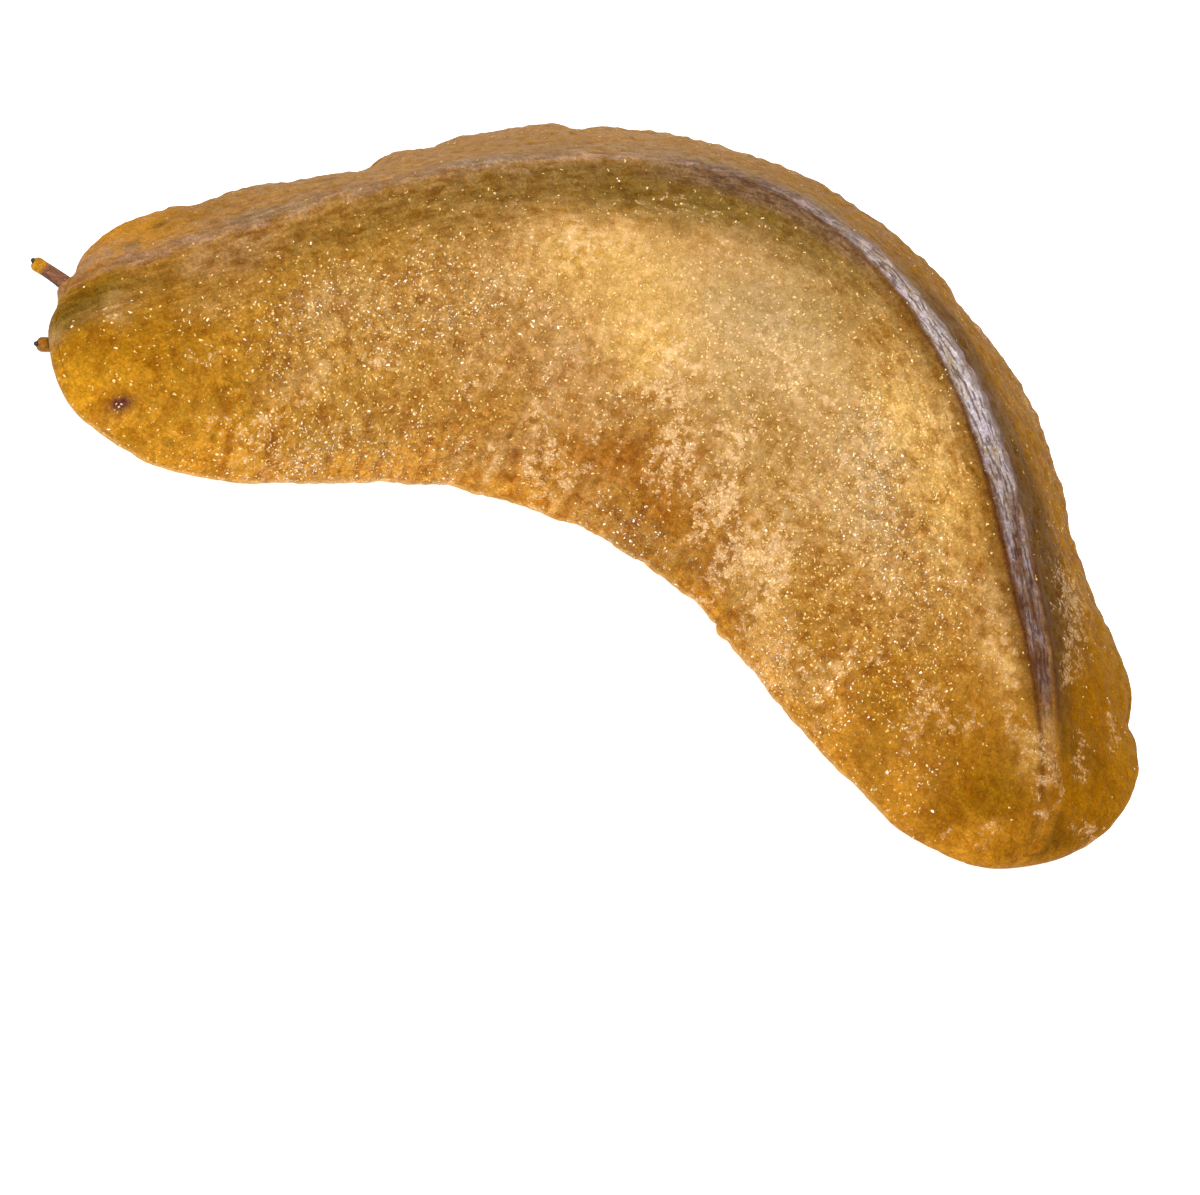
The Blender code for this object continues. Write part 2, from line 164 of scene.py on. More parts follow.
def wrapGrid(name, places, fields):
    # a grid laid over places[row, column] in millimetres, carrying named fields, closed where its edges meet
    rows, columns = places.shape[0] - 1, places.shape[1] - 1
    mesh = bpy.data.meshes.new(name)
    work = bmesh.new()
    bmesh.ops.create_grid(work, x_segments=columns, y_segments=rows, size=0.5)
    work.to_mesh(mesh)
    flat = np.empty(len(mesh.vertices) * 3, np.float32)
    mesh.vertices.foreach_get("co", flat)
    column = np.rint((flat[0::3] + 0.5) * columns).astype(int)
    row = np.rint((flat[1::3] + 0.5) * rows).astype(int)
    mesh.vertices.foreach_set("co", (places[row, column] * mm).astype(np.float32).ravel())
    for field, values in fields.items():
        kind = "FLOAT" if values.ndim == 2 else "FLOAT_VECTOR" if values.shape[2] == 3 else "FLOAT_COLOR"
        key = {"FLOAT": "value", "FLOAT_VECTOR": "vector", "FLOAT_COLOR": "color"}[kind]
        layer = mesh.attributes.new(field, kind, "POINT")
        layer.data.foreach_set(key, values[row, column].astype(np.float32).ravel())
    work.clear()
    work.from_mesh(mesh)
    bmesh.ops.remove_doubles(work, verts=work.verts[:], dist=0.000001)
    bmesh.ops.dissolve_degenerate(work, edges=work.edges[:], dist=0.0000001)
    bmesh.ops.recalc_face_normals(work, faces=work.faces[:])
    if work.calc_volume(signed=True) < 0:
        bmesh.ops.reverse_faces(work, faces=work.faces[:])
    work.to_mesh(mesh)
    work.free()
    mesh.shade_smooth()
    return addPiece(name, mesh)


# the skin of the back, rim, underside and foot: how finely it is laid and how its edge and wrinkles run
skinSettings = SimpleNamespace(
    frontRows=34,
    rowStep=0.2,
    tailRows=44,
    soleColumns=4,
    grooveColumns=9,
    underColumns=11,
    rimColumns=9,
    innerColumns=96,
    outerColumns=68,
    keelDensity=1.6,        # how many more columns the keel has than the flanks
    scallopSize=0.62,       # fine scallops of the edge, and their depth
    scallopDepth=0.07,
    lumpSize=4.5,           # low swellings of the flanks
    lumpDepth=0.16,
    pebbleSize=0.8,         # the leathery pebbles of the skin
    pebbleDepth=0.12,
    grainSize=0.45,
    grainDepth=0.05,
    creaseLength=1.1,       # creases that run up from the near edge, inside the bend
    creaseDepth=0.12,
    foldSize=0.55,          # short folds across the near flank, and fine wrinkles along the keel
    foldDepth=0.09,
    wrinkleSize=0.34,
    wrinkleDepth=0.05,
    calmRows=(6.0, 15.0),   # rows at the head and the tail over which the roughness fades in
    # rounds off the keel's top
    keelSoftening=(0.2, 0.3, 0.32, 0.32, 0.32, 0.3, 0.22, 0.16, 0.14, 0.1, 0.0),
    softeningWidth=0.9,
)

# nicks and swellings of the edge: station, side (-1 is the inside of the bend), half width, push outwards
edgeNicks = (
    (5.6, -1, 2.6, -0.5), (11.8, -1, 1.8, 0.3), (17.6, -1, 2, -0.35), (20.4, -1, 1, -0.25),
    (26, -1, 2, -0.45), (37.5, -1, 5, -0.12), (45, -1, 3, -0.32), (50.4, -1, 0.9, 0.3),
    (56.2, -1, 2.2, -0.35), (60.2, -1, 0.9, 0.35), (65.5, -1, 1.9, -0.5), (70.6, -1, 1.2, 0.15),
    (77, -1, 1.6, -0.2), (82.8, -1, 1.4, -0.5), (7, -1, 3, -0.15), (22.5, -1, 2.6, -0.2),
    (28, -1, 2, -0.15), (50, -1, 1.4, -0.15), (59.6, -1, 0.8, -0.25), (63.3, -1, 0.6, -0.15),
    (10.5, 1, 1.6, 0.1), (15, 1, 1.6, 0.25), (20.6, 1, 1.6, -0.4), (23, 1, 0.9, 0.5), (25, 1, 0.8, -0.25),
    (32.6, 1, 1.1, -0.7), (35.6, 1, 1.3, -0.35), (42.2, 1, 2.2, -0.4), (47.6, 1, 1.2, 0.1),
    (51.6, 1, 1.6, 0.35), (60.8, 1, 2, -0.4), (66, 1, 0.8, -0.3), (71.6, 1, 1.3, 0.2), (75.4, 1, 1.5, -0.3),
    (76.8, 1, 1.1, -0.3), (77.3, 1, 0.7, -0.6), (78.6, 1, 0.9, -0.35), (82.2, 1, 1.2, 0.2),
    (22.4, 1, 0.8, 0.2), (26.4, 1, 0.9, 0.2), (62.8, 1, 0.9, -0.15),
)

# soft pulls on the two ends of the edge: x, y, how wide, and the pull in x and y
endPulls = (
    (-37.4, -17.5, 1, 0.3, 0), (-37.3, -18.9, 0.55, -0.25, 0), (-37.2, -20.3, 0.7, 0.15, 0),
    (-37, -22.3, 1.2, -0.2, 0), (-36.2, -15.6, 1, 0, 0.15), (-36.5, -16.9, 0.7, -0.1, 0.1),
    (31.5, -26.3, 5, -0.14, 0.22),
)


def skinStations():
    settings, length = skinSettings, slugBody.length
    inset = slugBody.rimReach
    front, tail = slugBody.frontRound - inset, slugBody.tailRound - inset
    phi = np.linspace(0, math.pi / 2, settings.frontRows + 1)
    theta = np.linspace(0, math.pi / 2, settings.tailRows + 1)
    start, end = slugBody.frontRound, length - slugBody.tailRound
    middle = np.linspace(start, end, int(round((end - start) / settings.rowStep)) + 1)
    return np.concatenate([inset + front * (1 - np.cos(phi)), middle[1:-1],
                           (length - inset - tail * (1 - np.cos(theta)))[::-1]])


def halfSkin(stations, side):
    # one side of the skin from the middle of the sole out to the rim and up to the keel
    body, settings = slugBody, skinSettings
    inset = body.rimReach
    s = stations[:, None]
    narrow = (roundEnd(s - inset, body.frontRound - inset)
              * roundEnd(body.length - inset - s, body.tailRound - inset))
    reach = stationValue(body.innerReach if side < 0 else body.outerReach, s) - inset
    waves = body.innerWaves if side < 0 else body.outerWaves
    wave = sum(depth * np.sin(2 * math.pi * s / length + phase) for length, depth, phase in waves)
    along = np.concatenate([s, np.full_like(s, 3.0 + side), np.zeros_like(s)], axis=1)
    wave = wave + settings.scallopDepth * noiseAt(along, settings.scallopSize, 3)[:, None]
    wave = wave + 1.6 * settings.scallopDepth * noiseAt(along, 3 * settings.scallopSize, 4)[:, None]
    for station, nickSide, halfWidth, push in edgeNicks:
        if nickSide == side:
            wave = wave + push * bell(s - station, halfWidth)
    edge = side * (reach * narrow + wave * narrow)
    keel = stationValue(body.keelShifts, s) * narrow
    ends = smooth(s, inset, 3.0) * smooth(body.length - inset - s, 0.0, 3.0)
    ownHeight = stationValue(body.innerEdgeHeights if side < 0 else body.outerEdgeHeights, s)
    bothHeight = (stationValue(body.innerEdgeHeights, s) + stationValue(body.outerEdgeHeights, s)) / 2
    middle = bothHeight + (ownHeight - bothHeight) * ends - body.rimDrop
    base, low = middle + body.rimHalfThickness, middle - body.rimHalfThickness
    blunt = roundEnd(s - inset, 3.0) * roundEnd(body.length - inset - s, 4.0)
    top = base + (stationValue(body.keelHeights, s) - base) * blunt
    ridge = stationValue(body.ridgeHeights, s) * narrow
    roundness = body.innerRound if side < 0 else body.outerRound

    # the flank, its points spread by length along it and closer at the keel
    count = settings.innerColumns if side < 0 else settings.outerColumns
    angle = np.linspace(0, math.pi / 2, 260)[None, :]
    across = keel + (edge - keel) * np.cos(angle)
    rise = roundness * np.sin(angle) + (1 - roundness) * (1 - np.cos(angle))
    height = base + (top - base) * rise + ridge * bell(across - keel, body.ridgeHalfWidth)
    softening = stationValue(settings.keelSoftening, s) * narrow
    height = height - softening * np.exp(-np.abs(across - keel) / settings.softeningWidth)
    step = np.hypot(np.diff(across, axis=1), np.diff(height, axis=1)) + 1e-9
    step = step * (1 + settings.keelDensity * bell(across[:, 1:] - keel, 1.6))
    travelled = np.concatenate([np.zeros_like(s), np.cumsum(step, axis=1)], axis=1)
    share = np.linspace(0, 1, count + 1)
    flankAcross = np.array([np.interp(share * t[-1], t, a) for t, a in zip(travelled, across)])
    flankHeight = np.array([np.interp(share * t[-1], t, h) for t, h in zip(travelled, height)])

    # the underside: sole, side of the foot, groove and the flat under the back
    footEnds = (roundEnd(s - body.footStart, body.footFrontRound)
                * roundEnd(body.footEnd - s, body.footTailRound))
    present = smooth(s, body.footStart, body.footStart + 0.9) * smooth(body.footEnd - s, 0.0, 1.4)
    fit = np.minimum(1.0, 1.2 * narrow)
    foot = np.minimum(body.footHalfWidth * np.maximum(footEnds, 0.12), 0.6 * np.abs(edge))
    underEdge = low + body.underRise * fit
    underMiddle = bothHeight - body.rimDrop - body.rimHalfThickness + body.underRise * fit
    under = underMiddle + (underEdge - underMiddle) * smooth(np.abs(edge), 0.5, 4.0) * 0.5
    sole = underMiddle * (1 - present)
    chamfer = np.minimum(body.soleChamfer, 0.4 * foot) * present
    groove = body.grooveWidth * fit
    grooveTop = under + body.grooveRise * present
    outline = [(0 * foot, sole), (foot - chamfer, sole), (foot - 0.3 * chamfer, sole + 0.3 * chamfer),
               (foot, sole + chamfer),
               (foot, sole + (grooveTop - sole) * 0.6), (foot + 0.15 * groove, grooveTop - 0.1 * present),
               (foot + 0.45 * groove, grooveTop),
               (foot + 0.75 * groove, under + 0.2 * present), (foot + groove, under + 0.02),
               (foot + 1.5 * groove, under)]
    outline.append((np.abs(edge) * 0.75 + 0.25 * (foot + groove), low + 0.6 * (underEdge - low)))
    outline.append((np.abs(edge), low))
    outline = [(side * a, h) for a, h in outline]
    lowerAcross = np.concatenate([a for a, h in outline], axis=1)
    lowerHeight = np.concatenate([h for a, h in outline], axis=1)
    marks = np.array([0, 1, 1.5, 2, 2.7, 3.4, 4, 4.6, 5.2, 6, 8, 10.0])
    counts = ((0, 1, settings.soleColumns), (1, 6, settings.grooveColumns),
              (6, 10, settings.underColumns))
    spots = np.concatenate([np.linspace(a, b, n, endpoint=False) for a, b, n in counts])
    lowAcross = np.array([np.interp(spots, marks, a) for a in lowerAcross])
    lowHeight = np.array([np.interp(spots, marks, h) for h in lowerHeight])

    # the rounded rim stands out along the normal of the outline in plan
    rim = onBody(stations, edge[:, 0], 0 * stations)[:, :2]
    tangent = np.gradient(rim, axis=0)
    tangent /= np.linalg.norm(tangent, axis=1)[:, None] + 1e-12
    outward = np.stack([tangent[:, 1], -tangent[:, 0]], axis=1) * (-side)
    heading = headingAt(stations[[0, -1]], slugBody.fanBends)
    outward[0] = -np.cos(heading[0]), -np.sin(heading[0])
    outward[-1] = np.cos(heading[1]), np.sin(heading[1])
    psi = np.linspace(math.pi, 0, settings.rimColumns, endpoint=False)[None, :]
    out = inset * np.sin(psi)
    rimHeight = middle + body.rimHalfThickness * np.cos(psi)
    rimPlaces = np.concatenate([rim[:, None, :] + out[..., None] * outward[:, None, :],
                                rimHeight[..., None]], axis=2)

    places = np.concatenate([onBody(s, lowAcross, lowHeight), rimPlaces,
                             onBody(s, flankAcross, flankHeight)], axis=1)
    acrossAll = np.concatenate([lowAcross, edge + 0 * psi, flankAcross], axis=1)
    lowCount, flankCount = lowAcross.shape[1], flankAcross.shape[1]
    rows = len(stations)
    topShare = np.concatenate([np.zeros((rows, lowCount)),
                               np.tile(smooth(np.cos(psi), -1.3, -0.7), (rows, 1)),
                               np.ones((rows, flankCount))], axis=1)
    run = np.linalg.norm(np.diff(places[:, lowCount:], axis=1), axis=2)
    fromEdge = np.concatenate([np.zeros((rows, lowCount + 1)), np.cumsum(run, axis=1)], axis=1)
    return {"places": places, "across": acrossAll - keel, "top": topShare, "fromEdge": fromEdge}


def skinGrid():
    stations = skinStations()
    inner, outer = halfSkin(stations, -1), halfSkin(stations, 1)
    joined = {key: np.concatenate([inner[key], outer[key][:, -2::-1]], axis=1) for key in inner}
    joined["station"] = stations[:, None] + 0 * joined["across"]
    return joined


def roughen(grid):
    # swellings, creases, pebbles and grains, pushed out along the skin's normals
    settings = skinSettings
    places, station, across = grid["places"], grid["station"], grid["across"]
    rowRun, columnRun = np.gradient(places, axis=0), np.gradient(places, axis=1)
    normal = np.cross(columnRun, rowRun)
    size = np.linalg.norm(normal, axis=2)
    normal = np.where(size[..., None] > 1e-7, normal / (size[..., None] + 1e-12), (0.0, 0.0, 1.0))
    middleColumn = (settings.innerColumns // 2 + settings.soleColumns + settings.grooveColumns
                    + settings.underColumns + settings.rimColumns)
    if normal[len(normal) // 2, middleColumn, 2] < 0:
        normal = -normal
    rows = np.arange(len(places))[:, None]
    ends = (smooth(rows, 0.0, settings.calmRows[0])
            * smooth(len(places) - 1.0 - rows, 0.0, settings.calmRows[1]))
    push = settings.lumpDepth * noiseAt(places, settings.lumpSize, 1)
    pebble = noiseAt(places, settings.pebbleSize, 2) * (1 + 0.4 * smooth(station, 26.0, 34.0))
    push = push + settings.pebbleDepth * pebble
    push = push + settings.grainDepth * noiseAt(places, settings.grainSize, 5)
    bodyPlace = grid["bodyPlace"] = np.stack([station, across, 0 * across], axis=-1)
    crease = noiseAt(bodyPlace, settings.creaseLength, 6, (1.0, 2.6, 1.0))
    where = smooth(station, 27.0, 37.0) * smooth(66.0 - station, 0.0, 10.0) * smooth(-across, 9.0, 15.0)
    where = (where + 0.5 * smooth(station, 14.0, 22.0) * smooth(74.0 - station, 0.0, 8.0)
             * smooth(across, 7.0, 12.0))
    push = push + settings.creaseDepth * crease * where
    fold = (noiseAt(bodyPlace, settings.foldSize, 8, (1.0, 2.4, 1.0)) * smooth(-across, 2.5, 6.0)
            * smooth(34 - station, 0.0, 8.0))
    wrinkle = noiseAt(bodyPlace, settings.wrinkleSize, 7, (7.0, 1.0, 1.0)) * smooth(4.5 + across, 0.0, 3.0)
    wrinkle = wrinkle * (1 - 0.9 * smooth(across, 1.0, 2.4)) * (1 - 0.8 * smooth(station, 68, 76))
    push = push + settings.foldDepth * fold + settings.wrinkleDepth * wrinkle
    grid["relief"] = 0.7 * pebble + 0.7 * fold + 0.6 * wrinkle + 0.6 * crease * where
    calm = 0.35 + 0.65 * smooth(grid["fromEdge"], 0.6, 2.4)
    grid["places"] = places + normal * (push * calm * grid["top"] * ends)[..., None]
    for x, y, wide, pullX, pullY in endPulls:
        share = np.exp(-((places[..., 0] - x) ** 2 + (places[..., 1] - y) ** 2) / wide ** 2)
        grid["places"] = grid["places"] + share[..., None] * (pullX, pullY, 0.0)
    return grid


def keelStripe(look, across):
    # how much of the keel's stripe shows, its near side and its far side; the stripe is partly the keel's own
    # colour and partly a painted sheen
    nearWidth, softEdge = look["nearWidth"], 0.12
    near = smooth(across, -nearWidth - softEdge, -nearWidth + softEdge) * smooth(0.35 - across, 0.0, 0.3)
    far = smooth(across, 0.05, 0.35) * smooth(look["farWidth"] - across, 0.0, 0.5)
    return near, far


# the keel's stripe, partly a painted sheen, at even stations from head to tail: widths in millimetres,
# strengths from 0 to 1
keelLooks = {
    "nearWidth": (0.4, 0.5, 0.5, 0.3, 0.2, 0.3, 0.75, 1.15, 1.15, 0.7, 0.3),
    "farWidth": (0.9, 0.8, 0.8, 0.9, 1.0, 1.1, 1.4, 1.4, 0.9, 0.5, 0.3),
    "strength": (0.1, 0.1, 0.1, 0.12, 0.16, 0.25, 0.78, 1.0, 0.5, 0.12, 0.0),
    "shadeWidth": (4.5, 3.4, 3.2, 3.8, 4.4, 4.4, 3.5, 2.0, 2.2, 2.0, 2.0),
    "shadeStrength": (0.45, 0.25, 0.42, 0.8, 1.0, 0.96, 0.62, 0.5, 0.6, 0.45, 0.3),
    "shadeGap": (1.6, 1.6, 1.4, 1.2, 0.9, 0.5, 0.3, 0.3, 0.3, 0.3, 0.3),
    "mauve": (0.6, 0.4, 0.34, 0.3, 0.26, 0.28, 0.1, 0.0, 0.0, 0.0, 0.0),
    "lineStrength": (0.0, 0.0, 0.0, 0.0, 0.0, 0.3, 0.6, 0.9, 1.0, 0.9, 0.0),
}

# colours of the living skin as they look under a plain light; the studio's is stronger, so all of them
# are darkened alike
skinDarkening = 0.64
flankTones = ("#BC7E04", "#BE8A34", "#C69658", "#CAA05E", "#BE893A", "#A06604")     # evenly from head to tail
skinColours = {
    "amber": "#A8700C", "orange": "#DC9628", "olive": "#8A682C", "gold": "#EABA64", "straw": "#D2AA6E",
    # the keel's grey and lilac stand partly for a painted sheen along the keel
    "farTan": "#BC8840", "farAmber": "#A87210", "farDark": "#6A450C", "keelSheenGrey": "#C2B6B6",
    "keelBrown": "#7C5E48", "keelSheenLilac": "#A08E8E", "maroon": "#4E2412", "brown": "#7A4E12",
    "tail": "#A06602", "rim": "#E6B05C", "margin": "#DC9830", "plum": "#5E2A2A", "greyGreen": "#94886A",
    "rust": "#A65E14", "yolk": "#E6A81E", "under": "#D8B98C", "mauve": "#A88468", "oliveDark": "#6E540A",
}

# washes of colour over the base: colour, station, distance from the keel, half sizes, strength
washes = (
    ("orange", 2.4, -9, 3, 3, 0.8), ("orange", 7.5, -13.2, 4, 1.5, 0.6), ("orange", 19, -15.6, 8, 0.9, 0.5),
    ("orange", 31, -18.4, 5, 0.8, 0.5), ("orange", 44, -20.4, 8, 0.8, 0.4),
    ("orange", 58.5, -18.6, 2.5, 0.8, 0.7), ("amber", 5, -6.2, 4, 3, 0.8),
    ("oliveDark", 1.5, -2.6, 2.2, 2, 0.8), ("oliveDark", 4.5, -2.2, 3.5, 1.2, 0.3),
    ("olive", 8, -3.4, 4, 1.6, 0.25), ("olive", 17, -2.6, 5, 2, 0.5), ("olive", 25, -3.2, 4, 2.2, 0.5),
    ("gold", 33.5, -6.8, 4.2, 2.4, 0.75), ("gold", 38, -9.4, 3.6, 2.4, 0.7),
    ("straw", 43, -9.6, 3.5, 2.6, 0.4), ("gold", 56.6, -5.2, 2.6, 1.8, 0.8),
    ("gold", 63, -4.4, 3.4, 1.8, 0.7), ("straw", 58, -9.4, 5, 3, 0.6), ("straw", 46, -8.4, 3.5, 2.6, 0.5),
    ("straw", 50, -9.6, 3.2, 2.6, 0.4), ("olive", 49, -5, 3, 1.4, 0.35), ("amber", 53, -4, 2, 1.4, 0.4),
    ("amber", 67, -2.6, 4, 1, 0.4), ("amber", 27, -14.5, 4, 1.6, 0.35), ("amber", 47, -19.6, 4.5, 1.6, 0.9),
    ("amber", 39.5, -18, 3.5, 1.6, 0.4), ("amber", 53.5, -18.8, 2.5, 1.4, 0.5),
    ("amber", 65, -14, 3, 1.7, 0.55), ("amber", 73, -10.5, 4, 2.6, 0.7), ("tail", 76.5, -6.5, 3, 3, 0.7),
    ("tail", 80.5, -4, 2.5, 4.5, 0.95), ("tail", 76.5, 4.4, 3.4, 3.2, 0.95), ("tail", 82, 3, 2.4, 4, 0.9),
    ("orange", 83.4, -5.4, 1, 3, 0.6), ("farDark", 74.2, 1.6, 3.4, 0.9, 0.85),
    ("rim", 68, -15.9, 5, 0.7, 0.85), ("mauve", 55.4, -17.6, 0.8, 1, 0.4), ("orange", 4, 4.2, 3, 1.2, 0.5),
    ("greyGreen", 12, 0.6, 3, 0.8, 0.5), ("straw", 9.5, -4.6, 2, 1, 0.3), ("amber", 12, -5.5, 5, 1.6, 0.4),
    ("greyGreen", 26.5, 0.5, 3.5, 0.7, 0.5), ("straw", 14, -10.6, 2.4, 1.2, 0.35),
    ("straw", 16.4, -6.6, 3, 1.8, 0.4), ("gold", 38.6, -12.2, 2.6, 2, 0.6),
    ("straw", 3.4, -3.4, 1.4, 1, 0.4), ("yolk", 2, -9.4, 2.2, 2.4, 0.7),
    ("rust", 31.2, -17.4, 0.6, 0.8, 0.6), ("rust", 39, -18.6, 1.5, 1, 0.45),
    ("rust", 48.3, -19, 1.5, 0.9, 0.55), ("rust", 36.4, -17.6, 0.8, 1, 0.4),
    ("rust", 42.6, -18.4, 1.6, 1, 0.5), ("rust", 55.2, -18.8, 0.8, 0.6, 0.5),
    ("rust", 54.2, -16.8, 0.7, 0.8, 0.4), ("rust", 47.6, -16.4, 0.6, 0.8, 0.4),
    ("gold", 73.6, -2.6, 1.6, 1.2, 0.5), ("amber", 36, -16.6, 4, 2, 0.35), ("amber", 52, -17.6, 7, 2, 0.5),
    ("rust", 44, -18, 4, 1.2, 0.2), ("mauve", 9.9, -1.8, 3.5, 1.4, 0.35), ("amber", 8, 3.6, 4, 2, 0.6),
    ("farAmber", 59, 6.4, 5, 3, 0.5), ("gold", 38.4, -12.6, 1.6, 1.4, 0.6),
    ("amber", 50.4, -13, 1.2, 1.2, 0.3), ("oliveDark", 40, -2.6, 9, 1.6, 0.35),
    ("olive", 50.4, -12.4, 3, 1.8, 0.2), ("greyGreen", 45, -7.8, 3, 2, 0.25),
    ("oliveDark", 80.7, -3.4, 2, 2.6, 0.3), ("greyGreen", 40, 2, 12, 1.3, 0.4),
    ("straw", 70.5, -2.8, 2.6, 1.4, 0.5), ("gold", 78.6, -1.2, 1.2, 1.2, 0.4),
    ("orange", 79.5, -9.6, 3, 1.2, 0.5), ("orange", 73, -12.8, 3, 0.9, 0.5),
)

# single dark spots: colour, station, distance from the keel, half sizes, strength
darkSpots = (
    ("plum", 4.8, -9.9, 0.5, 0.42, 1.3), ("oliveDark", 5.4, 3.3, 0.6, 0.5, 0.7),
    ("oliveDark", 3.3, 2, 0.5, 0.4, 0.6), ("olive", 17.7, 3.7, 0.5, 0.4, 0.6),
    ("brown", 29.7, -16.4, 0.3, 0.16, 1), ("brown", 37.2, -18.4, 0.25, 0.14, 0.8),
    ("oliveDark", 7.3, -12.6, 0.22, 0.22, 0.7), ("oliveDark", 9.2, -12.6, 0.22, 0.22, 0.7),
    ("brown", 6.2, -12.4, 0.2, 0.2, 0.7),
)

# pale grainy blotches: station, distance from the keel, half sizes along and across, strength
paleBlotches = (
    (3.4, -3.6, 1.2, 0.9, 0.25), (9, -8, 1.2, 0.8, 0.25), (8.8, -11.6, 0.8, 0.6, 0.25),
    (10.5, -12.3, 1.7, 0.7, 0.35), (12.3, -12.4, 1, 0.5, 0.35), (11.5, -13.7, 1.4, 0.6, 0.4),
    (13.6, -14.2, 1.8, 0.5, 0.4), (14.3, -11, 1.5, 1, 0.35), (19.2, -11, 0.8, 0.6, 0.6),
    (18.3, -10.2, 0.9, 0.6, 0.3), (16.6, -13.4, 1.5, 0.6, 0.3), (26, -13.6, 0.9, 0.7, 0.4),
    (27.6, -13, 0.7, 0.6, 0.35), (22, -4.2, 0.8, 0.7, 0.25), (31.5, -5.4, 2.2, 1.1, 0.42),
    (34.5, -6.2, 2.2, 1.1, 0.45), (28.8, -17.2, 0.6, 0.8, 0.55), (32.4, -16.2, 0.6, 0.9, 0.5),
    (33.4, -17.4, 0.8, 0.7, 0.6), (36.6, -19.1, 0.8, 0.6, 0.7), (31.6, -15, 0.5, 0.8, 0.45),
    (34.6, -18.6, 0.8, 0.6, 0.5), (37.2, -16.4, 0.7, 0.9, 0.35), (38.6, -14.6, 0.8, 0.8, 0.4),
    (40.8, -16, 0.6, 0.8, 0.4), (42.3, -12.8, 1.7, 0.9, 0.55), (42.9, -14.3, 1.2, 0.8, 0.7),
    (41, -14.2, 0.8, 0.7, 0.5), (40.4, -12.2, 1.2, 1.1, 0.5), (37.8, -11, 1.1, 1, 0.55),
    (42.9, -9.8, 1.4, 1.1, 0.35), (41.3, -5.1, 1.3, 0.5, 0.35), (43.5, -5, 1.2, 0.4, 0.3),
    (37.5, -3, 1.6, 0.7, 0.35), (34, -3.4, 1.4, 0.6, 0.3), (40.5, -3.2, 1.2, 0.5, 0.28),
    (30, -3, 1.2, 0.5, 0.22), (45.6, -17.6, 1.3, 1.1, 0.8), (44.4, -16.9, 0.8, 0.8, 0.55),
    (44.1, -15.7, 0.6, 0.6, 0.6), (49.3, -14.7, 0.8, 0.9, 0.7), (49, -13.4, 0.7, 0.5, 0.4),
    (47.4, -14.6, 0.5, 0.5, 0.5), (50.8, -15.6, 0.5, 0.5, 0.45), (51.3, -17.2, 1.4, 1.1, 0.9),
    (52.6, -16.5, 0.8, 0.7, 0.65), (51.7, -18.4, 0.9, 0.7, 0.6), (55.5, -17.1, 0.7, 0.8, 0.6),
    (56.7, -16.6, 1, 0.8, 0.8), (58, -15.8, 0.9, 0.8, 0.65), (59.4, -15, 1.4, 0.9, 0.8),
    (56.4, -18.2, 0.9, 0.6, 0.85), (60.6, -16, 1, 0.9, 0.65), (61.9, -16.8, 0.9, 0.6, 0.45),
    (47.8, -9, 1.8, 1.4, 0.3), (49.6, -9.8, 1.6, 1.3, 0.3), (52.2, -8.8, 1.3, 0.8, 0.35),
    (57.2, -9.7, 1.6, 1, 0.3), (66, -15.2, 1.2, 0.7, 0.5), (68.4, -14.1, 0.8, 0.6, 0.4),
    (70.4, -13.2, 0.9, 0.9, 0.4), (71.8, -13.4, 0.8, 0.7, 0.4), (69.2, -12.7, 0.8, 0.7, 0.35),
    (70.2, -10.2, 0.8, 0.6, 0.35), (69.3, -11.4, 0.8, 0.6, 0.35), (73.3, -8.6, 0.8, 0.7, 0.5),
    (75.3, -7.2, 0.9, 0.8, 0.5), (76.4, -5.8, 0.8, 0.9, 0.45), (75.6, -9.2, 0.8, 0.8, 0.4),
    (74.3, -7.9, 0.7, 0.8, 0.4), (73.4, -2.4, 1, 0.9, 0.35), (72.6, -3.6, 0.8, 0.9, 0.35),
    (75, -2.6, 1, 0.7, 0.35), (77.4, -2.4, 1.3, 0.7, 0.35), (78.6, -1.4, 0.8, 0.9, 0.42),
    (79.4, -0.4, 0.8, 0.8, 0.4), (80.7, -0.3, 0.6, 0.6, 0.36), (78.6, 2.6, 0.8, 0.7, 0.35),
    (80.2, 2.4, 0.9, 0.6, 0.35), (77.6, 5.8, 1, 0.7, 0.4), (83.3, 3.8, 0.5, 1.3, 0.45),
    (83.2, -3.8, 0.8, 0.7, 0.4), (82.2, -6.4, 0.5, 0.4, 0.35), (69, 4.6, 1.2, 1.4, 0.3),
    (71.4, 4.4, 1.4, 1.5, 0.5), (70.2, 6, 1, 1.2, 0.3), (66.4, 5.4, 1, 1.2, 0.2),
    (73.2, 3.8, 0.9, 0.9, 0.4), (74.3, 2.7, 1, 0.9, 0.5), (75.6, 2.3, 0.7, 0.7, 0.35),
    (24, 9.4, 1.6, 1, 0.35), (31, 10.6, 1.8, 1.4, 0.45), (37.5, 12.4, 1.4, 1, 0.4),
    (43, 10.4, 1.6, 1.8, 0.45), (49.5, 12.6, 2.2, 1.4, 0.5), (55, 10.2, 1.4, 1.8, 0.45),
    (60.5, 11.6, 1.8, 1.2, 0.4), (18, 8.6, 1.6, 0.8, 0.3),
)
# broad patches without dark grains, laid out in the same way
plainPatches = ((39, -8, 8, 5, 1), (49, -9, 7, 5, 0.8))
tailRing = SimpleNamespace(station=81.6, across=0.25, radius=0.9, width=0.36, strength=0.34)
